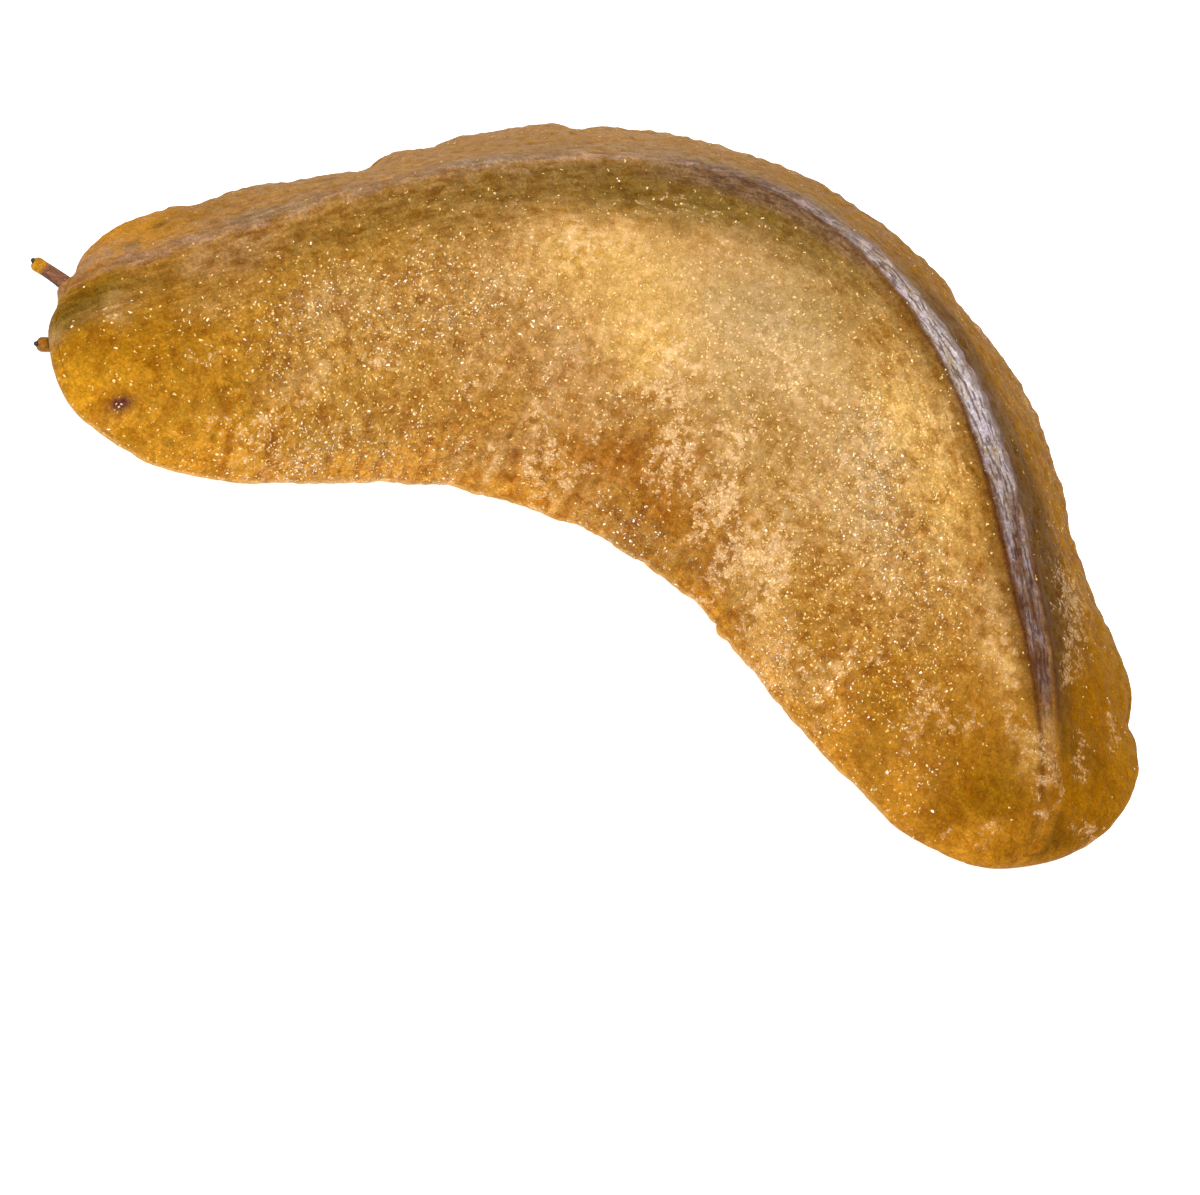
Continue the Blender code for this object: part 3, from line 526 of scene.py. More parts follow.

# wet, strongly grained places that glitter, with real gloss and with glints painted into the colour: station,
# distance from the keel, half sizes, strength
wetAndGlintPatches = (
    (14, -6.2, 2.6, 2.2, 0.8), (12.5, -8.6, 2, 1.6, 0.4), (19.5, -9, 3.4, 2, 0.8), (25.5, -9.2, 3, 1.8, 1),
    (22, -6.6, 3, 1.4, 0.5), (30, -9.8, 1.6, 1.2, 0.6), (32.5, -13, 1.6, 1, 0.6), (15, -13.8, 4, 1.4, 0.9),
    (21, -15.2, 4.5, 1.2, 0.9), (25.5, -16.4, 1, 0.5, 0.9), (46, -20.3, 2.6, 0.6, 0.8),
    (53.5, -20, 1.6, 0.6, 0.6), (57, -8.4, 2.6, 2.2, 0.9), (61, -8.6, 2, 1.6, 0.9),
    (64.5, -7.6, 2.6, 2, 0.6), (68.5, -6.6, 2.6, 2, 0.6), (65.6, -15.6, 2, 0.9, 0.9),
    (72, -12, 3, 1.6, 0.5), (3.8, -4, 1.4, 1, 0.3), (8.2, -5.4, 1.6, 1.2, 0.35),
    (4.9, -10.4, 0.7, 0.6, 0.8), (78, -8.6, 2.6, 1.6, 0.4),
)

# broad stretches sprinkled with single pale grains: station, distance from the keel, half sizes, strength
sprinkled = (
    (24, -8.5, 12, 5, 0.8), (50, -9.5, 10, 5, 0.9), (61, -9, 9, 6, 1), (40, -15, 10, 4, 0.45),
    (14, -14, 9, 2.5, 0.7), (6, -6, 5, 5, 0.22), (66, -15, 4, 2, 0.7), (40, -3, 12, 1.6, 0.12),
    (70, -9, 5, 5, 0.6), (77, -9, 4, 2.5, 0.5), (17, -7.5, 7, 4, 0.75), (20, 10, 12, 4, 0.45),
    (45, 11, 14, 4.5, 0.5), (66, 10, 8, 4, 0.45),
)


def darkened(colour):
    # a field of living colours as the studio's light needs them, with full opacity
    return np.concatenate([colour * skinDarkening, np.ones(colour.shape[:-1] + (1,))], axis=-1)


def blot(station, across, spot):
    # a soft round spot; stations lie closer together inside the bend, so there it spans more of them
    middle, aside, alongSize, acrossSize, strength = spot
    if 30 < middle < 70:
        alongSize = alongSize / (1 + 0.02 * min(aside, 0.0))
    return strength * np.exp(-(((station - middle) / alongSize) ** 2 + ((across - aside) / acrossSize) ** 2))


def paint(grid):
    # the skin's colour and the fields that its material reads, from the named places above
    places, station, across, fromEdge = grid["places"], grid["station"], grid["across"], grid["fromEdge"]
    top = grid["top"]
    tint = {name: np.array(linear(value)) for name, value in skinColours.items()}
    look = {name: stationValue(values, station) for name, values in keelLooks.items()}
    drift = noiseAt(places, 1.9, 11)
    driftToo = noiseAt(places, 1.9, 12)
    fine = noiseAt(places, 0.7, 13)
    fineToo = noiseAt(places, 0.7, 14)
    s = station + 0.9 * drift + 0.35 * fine
    a = across + 0.7 * driftToo + 0.3 * fineToo
    tones = np.array([linear(tone) for tone in flankTones])
    colour = np.stack([stationValue(tones[:, c], np.clip(s, 0, slugBody.length)) for c in range(3)],
                      axis=-1)

    def between(start, full, end, fade):
        # a stretch of stations: it sets in from start to full and fades out before its end
        return smooth(station, start, full) * smooth(end - station, 0, fade)

    def lay(name, share):
        nonlocal colour
        colour = colour + (tint[name] - colour) * np.clip(share, 0, 1)[..., None]

    broad = noiseAt(places, 5.0, 15)
    lay("amber", 0.15 + 0.5 * broad)
    lay("straw", 0.35 * smooth(noiseAt(places, 3.2, 16), 0.0, 0.6) * between(18, 34, 74, 8))
    far = smooth(across, 0.3, 1.2)
    lay("farTan", far)
    lay("farAmber", far * smooth(station, 34, 48))
    lay("farDark", far * smooth(station, 47, 56) * smooth(6.4 - across + 0.8 * drift, 0.0, 2.8) * 0.95)
    lay("orange", far * smooth(10 - station, 0, 6) * 0.7)
    lay("orange", 0.45 * smooth(2.2 + drift - fromEdge, 0, 1.4) * smooth(station, 78, 82))
    lay("orange", far * smooth(2.0 + 0.5 * drift - fromEdge, 0, 1.0) * smooth(72 - station, 0, 8) * 0.35)
    lay("straw", 0.4 * far * smooth(noiseAt(places, 3.6, 18), 0.05, 0.5) * smooth(across, 6.0, 9.0)
        * smooth(72 - station, 0, 8))
    shade = (smooth(look["shadeWidth"] + a + 0.8 * broad, -0.6, 2.2)
             * smooth(0.1 - across, 0.0, look["shadeGap"]) * look["shadeStrength"])
    lay("olive", shade)
    for name, *spot in washes:
        lay(name, blot(s, a, spot))
    lay("mauve", bell(across - 0.25 - 1.2 * smooth(7 - station, 0, 6) + 0.6 * drift, 1.15) * (1 + fine)
        * look["mauve"])
    outer = smooth(3.4 + 0.8 * drift - fromEdge, 0.0, 1.6)
    nearSide = smooth(-across, 2, 6)
    lay("farAmber", 0.5 * far * outer * between(8, 14, 76, 8))
    lay("margin", 0.6 * outer * nearSide * between(6, 12, 42, 8))
    lay("margin", 0.5 * smooth(2.2 + 0.5 * drift - fromEdge, 0.0, 0.7) * nearSide * between(50, 56, 80, 6))
    for name, *spot in darkSpots:
        lay(name, blot(station, across, spot))
    plain = sum(blot(station, across, spot) for spot in plainPatches)
    plain = plain + 0.6 * smooth(station, 70, 76) + 0.5 * far + 0.4 * smooth(12 - station, 0, 8)
    plain = np.clip(plain, 0, 1)
    # painted shade and light that follow the relief: darker in its hollows, paler on its crowns, less so on
    # plain skin
    hollowShade = (smooth(-grid["relief"], 0.0, 0.42) * (1 - 0.65 * plain))[..., None]
    crownLight = (smooth(grid["relief"], 0.02, 0.45) * (1 - 0.4 * plain))[..., None]
    colour = colour * (1 - hollowShade * (0.2, 0.3, 0.42)) * (1 + crownLight * (0.08, 0.11, 0.28))
    nearWidth = look["nearWidth"]
    beside = bell(across + nearWidth + 0.55 + 0.15 * drift, 0.55)
    lay("brown", 0.7 * beside * between(46, 54, 79, 4))
    band = smooth(across, -2.0 + 0.3 * drift, -1.0) * smooth(1.3 - across, 0.0, 0.6) * between(33, 40, 52, 5)
    lay("keelBrown", 0.7 * band)
    near, farSide = keelStripe(look, across + 0.12 * fine)
    lay("maroon", np.maximum(near, 0.7 * farSide) * between(57, 66, 79, 4) * 0.8)
    fleck = smooth(noiseAt(grid["bodyPlace"], 0.3, 21, (5.0, 1.0, 1.0)), -0.25, 0.25)
    strength = look["strength"] * (1 - 0.75 * (1 - fleck) * smooth(station, 60, 67))
    # painted sheen on the keel: pale grey on its near side and lilac on its far side, over the keel's own
    # colour
    lay("keelSheenGrey", near * strength * 0.95)
    lay("keelSheenLilac", farSide * strength * 0.85)
    line = bell(across + nearWidth + 0.14 + 0.08 * fine, 0.19) * look["lineStrength"]
    farLine = bell(across - 0.8 + 0.1 * fine, 0.3) * between(58, 64, 79, 3)
    lay("maroon", 0.9 * line + 0.7 * farLine)
    lay("maroon", 0.5 * bell(across - 0.5, 0.35) * between(69, 72, 78, 2) * (0.6 + 0.8 * fine))
    rim = smooth(0.95 - fromEdge, 0.0, 0.35) * nearSide * between(1.5, 4, 81, 4)
    lay("rim", rim * 0.8)
    front = bell(station - 0.6, 0.5) * bell(across + 4.2, 0.8)
    lay("straw", front * 0.8)
    lay("under", 1 - top)
    pale = (0.82 + 0.4 * smooth(station, 66, 70)) * sum(blot(s, a, spot) for spot in paleBlotches)
    ring = np.hypot(s - tailRing.station, a - tailRing.across)
    pale = pale + tailRing.strength * bell(ring - tailRing.radius, tailRing.width)
    # where the slime is wet: real gloss and relief, and white glints painted into the colour
    wetAndGlint = sum(blot(s, a, spot) for spot in wetAndGlintPatches) * (0.55 + 0.45 * smooth(station, 6, 14))
    sprinkle = sum(blot(s, a, spot) for spot in sprinkled)
    return {
        "skinColour": darkened(colour),
        "plainShare": plain,
        "paleShare": np.clip(pale, 0, 1) * top,
        "wetAndGlintShare": np.clip(wetAndGlint, 0, 1) * top,
        "keelShare": np.maximum((near + 0.5 * farSide) * between(42, 50, 80, 5), 0.7 * band) * top,
        "shineShare": np.clip(0.02 + 0.4 * np.clip(wetAndGlint, 0, 1) * top + 0.25 * near * strength, 0, 1)
        * (1 - 0.7 * far),
        "streakShare": between(30, 37, 66, 8) * smooth(-across, 12, 16) * top,
        "sprinkleShare": np.clip(sprinkle, 0, 1) * top,
        "topShare": top,
        "bodyPlace": grid["bodyPlace"] * mm,
    }


# the head with its mouth, the eye feelers and the lower feelers, in millimetres
headForm = SimpleNamespace(
    station=4.6, middleHeight=1.13, length=3.0, halfWidth=3.4, halfHeight=0.88,
    endRoundness=0.6, sideRoundness=0.7, topRoundness=0.8, rows=40, columns=48,
    rowCrowding=1.7, frontFace=(0.5, 2.4), mouthHeight=1.0, mouthWidth=0.75, mouthDepth=0.4,
    slitHeight=0.11, lipGap=0.27, lipOut=0.13, lipHeight=0.17, shadeHeight=0.13,
)
feelers = {
    "right": {"root": (2.3, 1.0, 1.4), "tip": (-39.7, -17.7, 2.25), "bow": (0.0, 0.12, 0.12), "look": 0.45,
              "bulb": "#C4860E"},
    "left": {"root": (2.3, -2.15, 1.35), "tip": (-37.1, -22.7, 1.5), "bow": (0.0, 0.0, 0.08), "look": 0.1,
             "bulb": "#A0661A"},
}
feelerForm = SimpleNamespace(
    rootRadius=0.58, neckRadius=0.45, bulbRadius=0.47, bulbLength=0.85, ringDepth=0.012,
    ringStep=0.16, eyeCup=0.215, rows=54, columns=26,
)
lowerFeeler = SimpleNamespace(
    station=2.1, across=1.9, height=0.6, length=1.15, radius=0.28, spread=0.12,
    droop=0.1, closing=0.3, flare=0.45, notch=0.2, rows=18, columns=18,
)
# the feeler shaft's low colour is painted shade on its underside, and the mouth's is painted shade in its
# slit
headColours = {"skin": "#8A5F36", "shaft": "#8C5C40", "shaftUnderShade": "#42241A", "mouth": "#5A3626"}


def headAxes():
    heading = float(headingAt(np.array(1.6), slugBody.fanBends))
    forward = np.array([-math.cos(heading), -math.sin(heading), 0.0])
    sideways = np.array([-math.sin(heading), math.cos(heading), 0.0])
    return forward, sideways


# the fields that mark the back; the head and feelers have none of them, only a thin film of slime
markings = ("plainShare", "paleShare", "wetAndGlintShare", "keelShare", "streakShare", "sprinkleShare", "topShare")
headShine = 0.25


def plainFields(colour):
    shape = colour.shape[:-1]
    fields = {name: np.zeros(shape) for name in markings}
    fields.update(skinColour=darkened(colour), shineShare=np.full(shape, headShine),
                  bodyPlace=np.zeros(colour.shape))
    return fields


def makeHead():
    form = headForm
    forward, sideways = headAxes()
    centre = onBody(np.array(form.station), 0.0, form.middleHeight)
    theta = math.pi * np.linspace(0, 1, form.rows + 1)[:, None] ** form.rowCrowding
    phi = np.linspace(0, 2 * math.pi, form.columns + 1)[None, :]
    radial = np.abs(np.sin(theta)) ** form.endRoundness
    aside, up = np.cos(phi), np.sin(phi)
    across = form.halfWidth * radial * np.sign(aside) * np.abs(aside) ** form.sideRoundness
    height = form.halfHeight * radial * np.sign(up) * np.abs(up) ** form.topRoundness
    ahead = form.length * np.cos(theta) + 0 * phi
    level = height + form.middleHeight - form.mouthHeight
    frontFace = smooth(ahead, *form.frontFace)
    spread = np.exp(-(across / form.mouthWidth) ** 4)
    ahead = ahead - form.mouthDepth * bell(level, form.slitHeight) * spread * frontFace
    for sign in (-1, 1):
        ahead = (ahead + form.lipOut * bell(level - sign * form.lipGap, form.lipHeight) * spread
                 * frontFace)
    places = centre + ahead[..., None] * forward + across[..., None] * sideways
    places[..., 2] += height
    skin, mouth = np.array(linear(headColours["skin"])), np.array(linear(headColours["mouth"]))
    # the mouth's slit painted dark: painted shade in the slit
    dark = (bell(level, form.shadeHeight) * spread * frontFace)[..., None]
    return wrapGrid("headForm", places, plainFields(skin + (mouth - skin) * dark))


def tubePlaces(path, widths, heights, columns):
    # rings of a given half width and half height round each point of a path
    run = np.gradient(path, axis=0)
    run /= np.linalg.norm(run, axis=1)[:, None] + 1e-12
    aside = np.cross(run, (0.0, 0.0, 1.0))
    aside /= np.linalg.norm(aside, axis=1)[:, None]
    upright = np.cross(aside, run)
    phi = np.linspace(0, 2 * math.pi, columns + 1)
    ring = np.cos(phi)[None, :, None] * aside[:, None, :] * widths[:, None, None]
    ring = ring + np.sin(phi)[None, :, None] * upright[:, None, :] * heights[:, None, None]
    return path[:, None, :] + ring


def makeFeeler(side):
    form, own = feelerForm, feelers[side]
    root = onBody(np.array(own["root"][0]), own["root"][1], own["root"][2])
    tip = np.array(own["tip"])
    length = float(np.linalg.norm(tip - root))
    t = np.linspace(0, 1, form.rows + 1) ** 0.8
    path = root + (tip - root) * t[:, None] + np.array(own["bow"]) * np.sin(math.pi * t)[:, None]
    fromTip = (1 - t) * length
    bulb = form.bulbRadius * roundEnd(fromTip, form.bulbLength / 2)
    shaft = (form.neckRadius + (form.rootRadius - form.neckRadius)
             * smooth(fromTip, form.bulbLength, length))
    share = smooth(fromTip, 0.55 * form.bulbLength, 1.15 * form.bulbLength)
    radius = bulb * (1 - share) + shaft * share
    radius = (radius - form.ringDepth * share
              * (0.5 + 0.5 * np.sin(2 * math.pi * fromTip / form.ringStep)))
    radius[0] = 0.0
    places = tubePlaces(path, radius, radius, form.columns)
    low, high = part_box("eye_" + side)
    eye = np.array((low + high) / 2) / mm
    run = (tip - root) / length
    look = run + np.array([0.0, 0.0, own["look"]])
    look /= np.linalg.norm(look)
    offset = places - eye
    ahead = offset @ look
    apart = np.linalg.norm(offset - ahead[..., None] * look, axis=2)
    cup = form.eyeCup
    depth = -np.sqrt(np.maximum(cup ** 2 - apart ** 2, 0.0))
    sunk = (apart < cup) & (ahead > depth)
    places = np.where(sunk[..., None], places + (depth - ahead)[..., None] * look, places)
    tint = {name: np.array(linear(value)) for name, value in (*headColours.items(), ("bulb", own["bulb"]))}
    # the shaft painted darker underneath: painted shade on its lower side
    upper = smooth((places[..., 2] - path[:, None, 2]) / 0.4, -0.6, 0.8)
    colour = tint["shaftUnderShade"] + (tint["shaft"] - tint["shaftUnderShade"]) * upper[..., None]
    gold = smooth(1.25 * form.bulbLength - fromTip, 0.0, 0.35)[:, None, None]
    colour = colour + (tint["bulb"] - colour) * gold
    return wrapGrid("feelerForm_" + side, places, plainFields(colour))


def makeLowerFeeler(sign):
    form = lowerFeeler
    forward, sideways = headAxes()
    root = onBody(np.array(form.station), sign * form.across, form.height)
    direction = forward + sideways * form.spread * sign - np.array([0.0, 0.0, form.droop])
    direction /= np.linalg.norm(direction)
    t = np.linspace(0, 1, form.rows + 1)
    path = root + direction * form.length * t[:, None]
    closing = roundEnd(1 - t, form.closing)
    widths = form.radius * (1 + form.flare * smooth(t, 0.5, 0.85)) * closing
    heights = form.radius * closing
    widths[0] = heights[0] = 0.0
    places = tubePlaces(path, widths, heights, form.columns)
    middle = np.abs((places - path[:, None, :]) @ sideways) / form.radius
    notch = form.notch * smooth(t, 0.6, 1.0)[:, None] * bell(middle, 0.4)
    places = places - direction * notch[..., None]
    colour = np.tile(linear(headColours["shaft"]), middle.shape + (1,))
    return wrapGrid("lowerFeelerForm", places, plainFields(colour))


def uniteForms(skin, forms):
    # the head and feelers grow out of the skin, so all are united into one closed surface
    group = bpy.data.collections.new("formsToUnite")
    bpy.context.scene.collection.children.link(group)
    for form in forms:
        bpy.context.scene.collection.objects.unlink(form)
        group.objects.link(form)
    unite = skin.modifiers.new("Unite", "BOOLEAN")
    unite.operation = "UNION"
    unite.solver = "MANIFOLD"
    unite.operand_type = "COLLECTION"
    unite.collection = group
    bpy.context.view_layer.update()
    united = bpy.data.meshes.new_from_object(skin.evaluated_get(bpy.context.evaluated_depsgraph_get()))
    skin.modifiers.clear()
    skin.data = united
    skin.data.shade_smooth()
    for form in forms:
        bpy.data.objects.remove(form)
    bpy.data.collections.remove(group)


def feedNode(tree, node, feeds):
    # gives each named input its value or the output that feeds it
    for socket, value in feeds.items():
        if isinstance(value, bpy.types.NodeSocket):
            tree.links.new(value, node.inputs[socket])
        else:
            node.inputs[socket].default_value = value


def addNode(tree, kind, settings=None, feeds=None):
    node = tree.nodes.new(kind)
    for name, value in (settings or {}).items():
        setattr(node, name, value)
    feedNode(tree, node, feeds or {})
    return node


def newMaterial(name):
    material = bpy.data.materials.new(name)
    material.use_nodes = True
    return material, material.node_tree, material.node_tree.nodes["Principled BSDF"]


def mathNode(tree, operation, first, second, clamp=False):
    return addNode(tree, "ShaderNodeMath", {"operation": operation, "use_clamp": clamp},
                   {0: first, 1: second}).outputs[0]


def vectorNode(tree, operation, feeds):
    return addNode(tree, "ShaderNodeVectorMath", {"operation": operation}, feeds).outputs[0]


# wet living slug skin: a soft hide of fine round grains, some of them pale,
# under a film of slime that is thick enough to sparkle only in places; the sparkle is partly the slime's
# real gloss and partly white glints painted into the colour
wetSkin = SimpleNamespace(
    # the glint colour is a painted highlight, mixed into the skin's colour as near-white dots
    cream="#DEB888", creamShare=0.82, speck="#EDCB86", paintedGlint="#FFF2D8", keelCreaseShade="#3E221E",
    streakDark="#7E4E10",
    darkMottle=(0.8, 0.63, 0.32), tanMottle=(1.14, 1.1, 1.25),
    # widths in millimetres; real grains are about 0.1, drawn coarser so that the render can hold them
    grainWidth=0.2, speckWidth=0.24, glintWidth=0.25, gritWidth=0.15, swayWidth=0.25,
    sway=0.4,
    streakSize=(1.1, 1.5), creaseSize=(0.9, 0.17),     # along and across the body
    mottleWidth=1.5, patchWidth=0.62, nearKeelPatchSize=(1.4, 0.4), clusterWidth=0.7,
    roughness=0.5, roughnessSpread=0.07, specular=0.02, coatRoughness=0.1, coatIor=1.38,
    ior=1.4,
    reliefHeight=0.085,
)


def mapRange(tree, value, low, high, start=0.0, end=1.0, smoothly=False):
    kind = {"interpolation_type": "SMOOTHSTEP"} if smoothly else None
    feeds = {"Value": value, "From Min": low, "From Max": high, "To Min": start, "To Max": end}
    return addNode(tree, "ShaderNodeMapRange", kind, feeds).outputs[0]


def mixColour(tree, share, first, second):
    second = second if isinstance(second, bpy.types.NodeSocket) else (*linear(second), 1.0)
    return addNode(tree, "ShaderNodeMix", {"data_type": "RGBA"}, {0: share, 6: first, 7: second}).outputs[2]


def mixValue(tree, share, first, second):
    return addNode(tree, "ShaderNodeMix", {"data_type": "FLOAT"}, {0: share, 2: first, 3: second}).outputs[0]


def noiseNode(tree, place, width, detail=2.0, roughness=0.5):
    feeds = {"Vector": place, "Scale": 1 / (width * mm), "Detail": detail, "Roughness": roughness}
    return addNode(tree, "ShaderNodeTexNoise", None, feeds)


def stretchedNoise(tree, place, size, detail):
    # noise in body coordinates whose patches are this long along the body and this wide across it
    spread = addNode(tree, "ShaderNodeMapping", None,
                     {0: place, 3: (1 / (size[0] * mm), 1 / (size[1] * mm), 1.0)}).outputs[0]
    feeds = {"Vector": spread, "Scale": 1.0, "Detail": detail, "Roughness": 0.55}
    return addNode(tree, "ShaderNodeTexNoise", None, feeds).outputs["Fac"]


def cellNode(tree, place, width):
    cells = addNode(tree, "ShaderNodeTexVoronoi", {"feature": "F1"},
                    {"Vector": place, "Scale": 1 / (width * mm)})
    pick = addNode(tree, "ShaderNodeSeparateColor", None, {0: cells.outputs["Color"]}).outputs[0]
    return cells.outputs["Distance"], pick


def makeWetSkin():
    looks = wetSkin
    material, tree, shader = newMaterial("wetGrainedSlugSkin")
    times, plus, minus = (partial(mathNode, tree, operation) for operation in ("MULTIPLY", "ADD", "SUBTRACT"))
    ranged = partial(mapRange, tree)
    place = addNode(tree, "ShaderNodeTexCoord").outputs["Object"]
    names = ("skinColour", "shineShare", "bodyPlace", *markings)
    field = {name: addNode(tree, "ShaderNodeAttribute", {"attribute_name": name}) for name in names}
    share = {name: node.outputs["Fac"] for name, node in field.items()}
    bodyPlace = field["bodyPlace"].outputs["Vector"]
    sway = noiseNode(tree, place, looks.swayWidth, 1.0).outputs["Color"]
    warped = vectorNode(tree, "MULTIPLY_ADD", {0: sway, 1: (looks.sway * mm,) * 3, 2: place})
    grainNear, grainPick = cellNode(tree, warped, looks.grainWidth)
    speckNear, speckPick = cellNode(tree, warped, looks.speckWidth)
    glintNear, glintPick = cellNode(tree, warped, looks.glintWidth)
    mottle = noiseNode(tree, place, looks.mottleWidth, 3.0, 0.6).outputs["Fac"]
    flankPatch = noiseNode(tree, warped, looks.patchWidth, 3.0, 0.55).outputs["Fac"]
    keelPatch = stretchedNoise(tree, bodyPlace, looks.nearKeelPatchSize, 2.0)
    along, fromKeel, _ = addNode(tree, "ShaderNodeSeparateXYZ", None, {0: bodyPlace}).outputs
    byKeel = times(ranged(fromKeel, -7 * mm, -2.5 * mm), ranged(fromKeel, 0.6 * mm, 2 * mm, 1.0, 0.25))
    byKeel = times(byKeel, ranged(along, 62 * mm, 70 * mm, 1.0, 0.1))
    patch = mixValue(tree, byKeel, flankPatch, keelPatch)
    grit = noiseNode(tree, place, looks.gritWidth, 2.0).outputs["Fac"]

    # the base colour turns browner and more saturated or paler and pinker from patch to patch; the same
    # patches raise the relief, so the browner hollows and paler crowns are partly painted shade and painted
    # light
    colour = field["skinColour"].outputs["Color"]
    dark = vectorNode(tree, "MULTIPLY", {0: colour, 1: looks.darkMottle})
    tan = vectorNode(tree, "MULTIPLY", {0: colour, 1: looks.tanMottle})
    darkShare = times(ranged(mottle, 0.4, 0.6, 1.0, 0.15), ranged(patch, 0.4, 0.54, 1.0, 0.0))
    darkShare = times(darkShare, ranged(share["plainShare"], 0.0, 1.0, 1.0, 0.3))
    base = mixColour(tree, times(darkShare, share["topShare"]), colour, dark)
    base = mixColour(tree, times(ranged(patch, 0.5, 0.62), share["topShare"]), base, tan)
    tone = times(ranged(grainPick, 0.0, 1.0, 0.8, 1.26), ranged(grit, 0.3, 0.7, 0.82, 1.18))
    # each grain is painted a little lighter at its middle and darker at its edge: painted light and shade on
    # the grain's dome
    tone = times(tone, ranged(grainNear, 0.25, 0.65, 1.05, 0.84))
    tone = mixValue(tree, ranged(share["plainShare"], 0.0, 1.0, 0.0, 0.4), tone, 1.0)
    base = vectorNode(tree, "SCALE", {0: base, 3: tone})

    # streaks up from the near edge, by turns pale and amber
    streak = stretchedNoise(tree, bodyPlace, looks.streakSize, 2.0)
    streakDark = times(ranged(streak, 0.36, 0.5, 0.35, 0.0), share["streakShare"])
    base = mixColour(tree, streakDark, base, looks.streakDark)
    streakPale = times(ranged(streak, 0.5, 0.68, 0.0, 0.22), share["streakShare"])

    # pale blotches made of grains: the paler the place, the more of its grains are pale
    inBlotch = ranged(share["paleShare"], 0.02, 0.3, 0.0, 1.0, True)
    ragged = times(ranged(patch, 0.38, 0.62, -0.42, 0.3), inBlotch)
    paleness = plus(plus(share["paleShare"], ragged), streakPale)
    threshold = plus(ranged(grainPick, 0.0, 1.0, 0.08, 0.95), ranged(grit, 0.3, 0.7, -0.25, 0.25))
    pale = ranged(minus(paleness, threshold), -0.28, 0.28, 0.0, looks.creamShare, True)
    pale = times(pale, ranged(grainNear, 0.2, 0.6, 1.0, 0.4))
    pale = times(pale, ranged(paleness, 0.02, 0.16))
    pale = times(pale, ranged(along, 64 * mm, 72 * mm, 1.0, 0.66))
    pale = times(pale, share["topShare"])
    base = mixColour(tree, pale, base, looks.cream)

    # single pale grains, and painted glints: near-white dots painted into the colour where the slime is thick
    speckChance = minus(1.0, times(share["sprinkleShare"], 0.62))
    speck = times(ranged(speckNear, 0.1, 0.36, 0.85, 0.0, True),
                  mathNode(tree, "GREATER_THAN", speckPick, speckChance))
    speck = times(speck, ranged(share["keelShare"], 0.1, 0.5, 1.0, 0.0))
    base = mixColour(tree, speck, base, looks.speck)
    cluster = noiseNode(tree, place, looks.clusterWidth, 2.0).outputs["Fac"]
    paintedGlintDensity = times(share["wetAndGlintShare"], ranged(cluster, 0.42, 0.57, 0.14, 1.0))
    glintChance = minus(0.995, times(paintedGlintDensity, 0.92))
    paintedGlint = times(ranged(glintNear, 0.1, 0.36, 0.95, 0.0, True),
                  mathNode(tree, "GREATER_THAN", glintPick, glintChance))
    paintedGlint = times(paintedGlint, share["topShare"])
    base = mixColour(tree, paintedGlint, base, looks.paintedGlint)

    # fine creases along the keel, painted dark: painted shade in the creases, which the relief also sinks
    crease = stretchedNoise(tree, bodyPlace, looks.creaseSize, 2.0)
    creaseShare = times(ranged(crease, 0.38, 0.5, 0.7, 0.0, True), share["keelShare"])
    base = mixColour(tree, creaseShare, base, looks.keelCreaseShade)

    # relief: round grains, drops of slime and the keel's creases
    dome = ranged(grainNear, 0.0, 0.7, 1.0, 0.0, True)
    drop = ranged(glintNear, 0.0, 0.5, 1.0, 0.0, True)
    bare = minus(1.0, times(share["keelShare"], 0.8), True)
    relief = plus(times(dome, 0.6), times(drop, plus(share["wetAndGlintShare"], 0.2)))
    relief = minus(times(relief, bare), creaseShare)
    relief = plus(relief, times(grit, 0.5))
    relief = plus(relief, times(patch, 2.2))
    bump = addNode(tree, "ShaderNodeBump", None,
                   {"Strength": 1.0, "Distance": looks.reliefHeight * mm, "Height": relief}).outputs[0]

    rough, spread = looks.roughness, looks.roughnessSpread
    feedNode(tree, shader, {
        "Base Color": base, "Roughness": ranged(mottle, 0.3, 0.7, rough - spread, rough + spread),
        "Coat Weight": share["shineShare"], "Normal": bump, "Coat Normal": bump, "IOR": looks.ior,
        "Specular IOR Level": looks.specular, "Coat Roughness": looks.coatRoughness,
        "Coat IOR": looks.coatIor,
    })
    return material


# the black eye at a feeler's tip: a wet, clear-coated ball that mirrors the lights
eyeLooks = SimpleNamespace(
    black="#0C0807", brown="#1C110C", roughness=0.3, specular=0.25, coat=0.35, coatRoughness=0.08,
    cloudWidth=0.12, segments=32, rings=20,
)


def makeEyes():
    material, tree, shader = newMaterial("wetBlackEye")
    place = addNode(tree, "ShaderNodeTexCoord").outputs["Object"]
    cloud = noiseNode(tree, place, eyeLooks.cloudWidth).outputs["Fac"]
    colour = mixColour(tree, cloud, (*linear(eyeLooks.black), 1.0), eyeLooks.brown)
    feedNode(tree, shader, {
        "Base Color": colour, "Roughness": eyeLooks.roughness, "Specular IOR Level": eyeLooks.specular,
        "Coat Weight": eyeLooks.coat, "Coat Roughness": eyeLooks.coatRoughness,
    })
    for side in ("right", "left"):
        low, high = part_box("eye_" + side)
        centre, radius = (low + high) / 2, (high.z - low.z) / 2
        mesh = bpy.data.meshes.new("eyeball_" + side)
        work = bmesh.new()
        bmesh.ops.create_uvsphere(work, u_segments=eyeLooks.segments, v_segments=eyeLooks.rings,
                                  radius=radius)
        bmesh.ops.translate(work, verts=work.verts[:], vec=centre)
        work.to_mesh(mesh)
        work.free()
        mesh.shade_smooth()
        mesh.materials.append(material)
        eye = addPiece("eyeball_" + side, mesh)
        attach(eye, "root")
        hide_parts("eye_" + side)


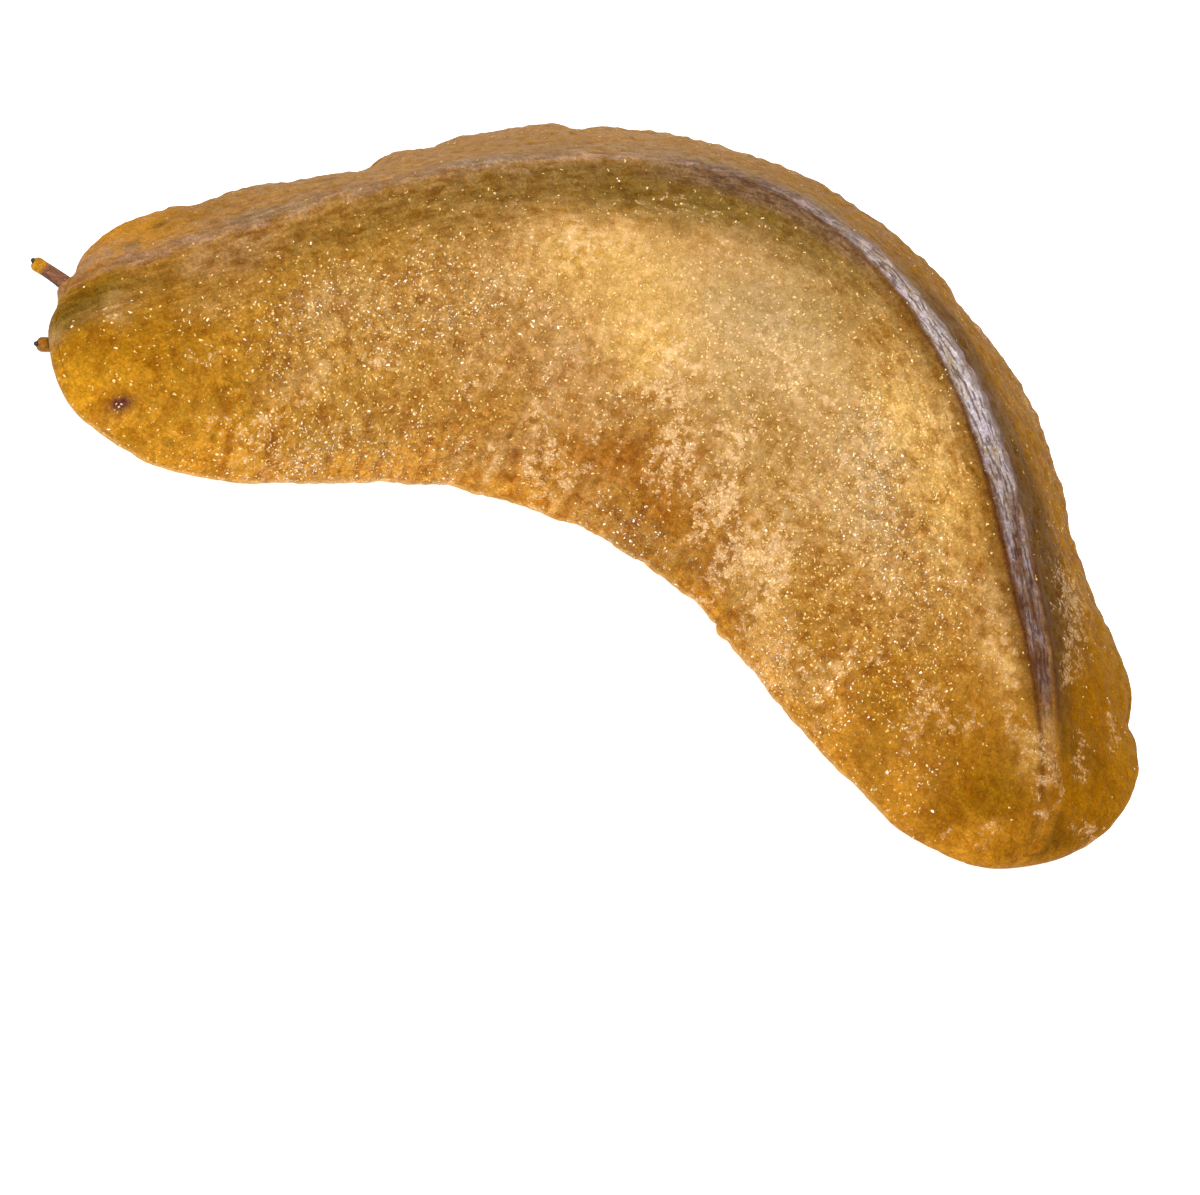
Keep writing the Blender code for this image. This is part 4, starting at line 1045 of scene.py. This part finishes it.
def makeSkin():
    grid = roughen(skinGrid())
    print("skin laid:", grid["places"].shape)
    fields = paint(grid)
    print("skin painted")
    skin = wrapGrid("slugSkin", grid["places"], fields)
    forms = [makeHead(), makeFeeler("right"), makeFeeler("left"), makeLowerFeeler(1), makeLowerFeeler(-1)]
    uniteForms(skin, forms)
    skin.data.materials.clear()
    skin.data.materials.append(makeWetSkin())
    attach(skin, "root")
    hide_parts(*[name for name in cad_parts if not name.startswith("eye_right")
                        and not name.startswith("eye_left")])
    print("skin finished:", sum(len(p.vertices) - 2 for p in skin.data.polygons), "triangles")


# the camera of the photograph: its aim and distance in millimetres, its turn, height and roll in degrees
cameraView = {"aim": (0.94, -20.55, 0.0), "azimuth": -8.0, "elevation": 54.0, "roll": 32.0,
              "distance": 229.2, "lens": 110.0}


def makeCamera():
    view = cameraView
    azimuth, elevation, roll = (math.radians(view[k]) for k in ("azimuth", "elevation", "roll"))
    back = Vector((math.sin(azimuth) * math.cos(elevation), -math.cos(azimuth) * math.cos(elevation),
                   math.sin(elevation)))
    right = Vector((math.cos(azimuth), math.sin(azimuth), 0.0))
    up = back.cross(right)
    across = right * math.cos(roll) + up * math.sin(roll)
    upwards = -right * math.sin(roll) + up * math.cos(roll)
    data = bpy.data.cameras.new("camera")
    data.lens = view["lens"]
    data.sensor_width = 36.0
    data.clip_start, data.clip_end = 0.01, 10.0
    camera = addPiece("camera", data)
    turn = Matrix((across, upwards, back)).transposed().to_4x4()
    camera.matrix_world = Matrix.Translation((Vector(view["aim"]) + back * view["distance"]) * mm) @ turn
    bpy.context.scene.camera = camera


# a white table lit a little from below, under soft studio lights: matt acrylic, which spreads the light
# evenly and mirrors nothing; each light has its place and size in metres, its power in watts, its colour
studio = SimpleNamespace(
    floorColour="#F6F6F6", floorGlow=0.6, floorSize=3.0, floorRoughness=0.9, fibreScale=900.0,
    skyColour="#FFFFFF", skyStrength=0.62,
    lights=(
        ("softboxOverhead", (0.0, -0.16, 0.55), 0.14, 3.0, "#FFFFFF"),
        ("softboxByCamera", (-0.12, -0.45, 0.4), 0.3, 1.2, "#FFFDF8"),
        ("skyBeyond", (0.1, 0.4, 0.42), 0.25, 0.3, "#F2F4FF"),
    ),
)


def makeStudio():
    mesh = bpy.data.meshes.new("table")
    work = bmesh.new()
    bmesh.ops.create_grid(work, x_segments=2, y_segments=2, size=studio.floorSize)
    work.to_mesh(mesh)
    work.free()
    material, tree, shader = newMaterial("mattWhiteLightTable")
    place = addNode(tree, "ShaderNodeTexCoord").outputs["Object"]
    fibres = addNode(tree, "ShaderNodeTexNoise", None,
                     {"Vector": place, "Scale": studio.fibreScale, "Detail": 3.0}).outputs["Fac"]
    tone = mapRange(tree, fibres, 0.0, 1.0, 0.985, 1.0)
    white = linear(studio.floorColour)
    feedNode(tree, shader, {
        "Base Color": vectorNode(tree, "SCALE", {0: white, 3: tone}), "Roughness": studio.floorRoughness,
        "Emission Color": (*white, 1.0), "Emission Strength": studio.floorGlow,
    })
    mesh.materials.append(material)
    table = addPiece("table", mesh)
    for name, spot, size, power, colourHex in studio.lights:
        lamp = bpy.data.lights.new(name, "AREA")
        lamp.shape = "DISK"
        lamp.size = size
        lamp.energy = power
        lamp.color = linear(colourHex)
        light = addPiece(name, lamp)
        light.location = spot
        light.rotation_euler = (-Vector(spot)).to_track_quat("-Z", "Y").to_euler()
    world = bpy.data.worlds.new("paleRoom")
    world.use_nodes = True
    feedNode(world.node_tree, world.node_tree.nodes["Background"],
             {"Color": (*linear(studio.skyColour), 1.0), "Strength": studio.skyStrength})
    bpy.context.scene.world = world
    bpy.context.scene.view_settings.view_transform = "Standard"


makeSkin()
makeEyes()
print("eyes placed")
makeCamera()
makeStudio()
print("studio set")
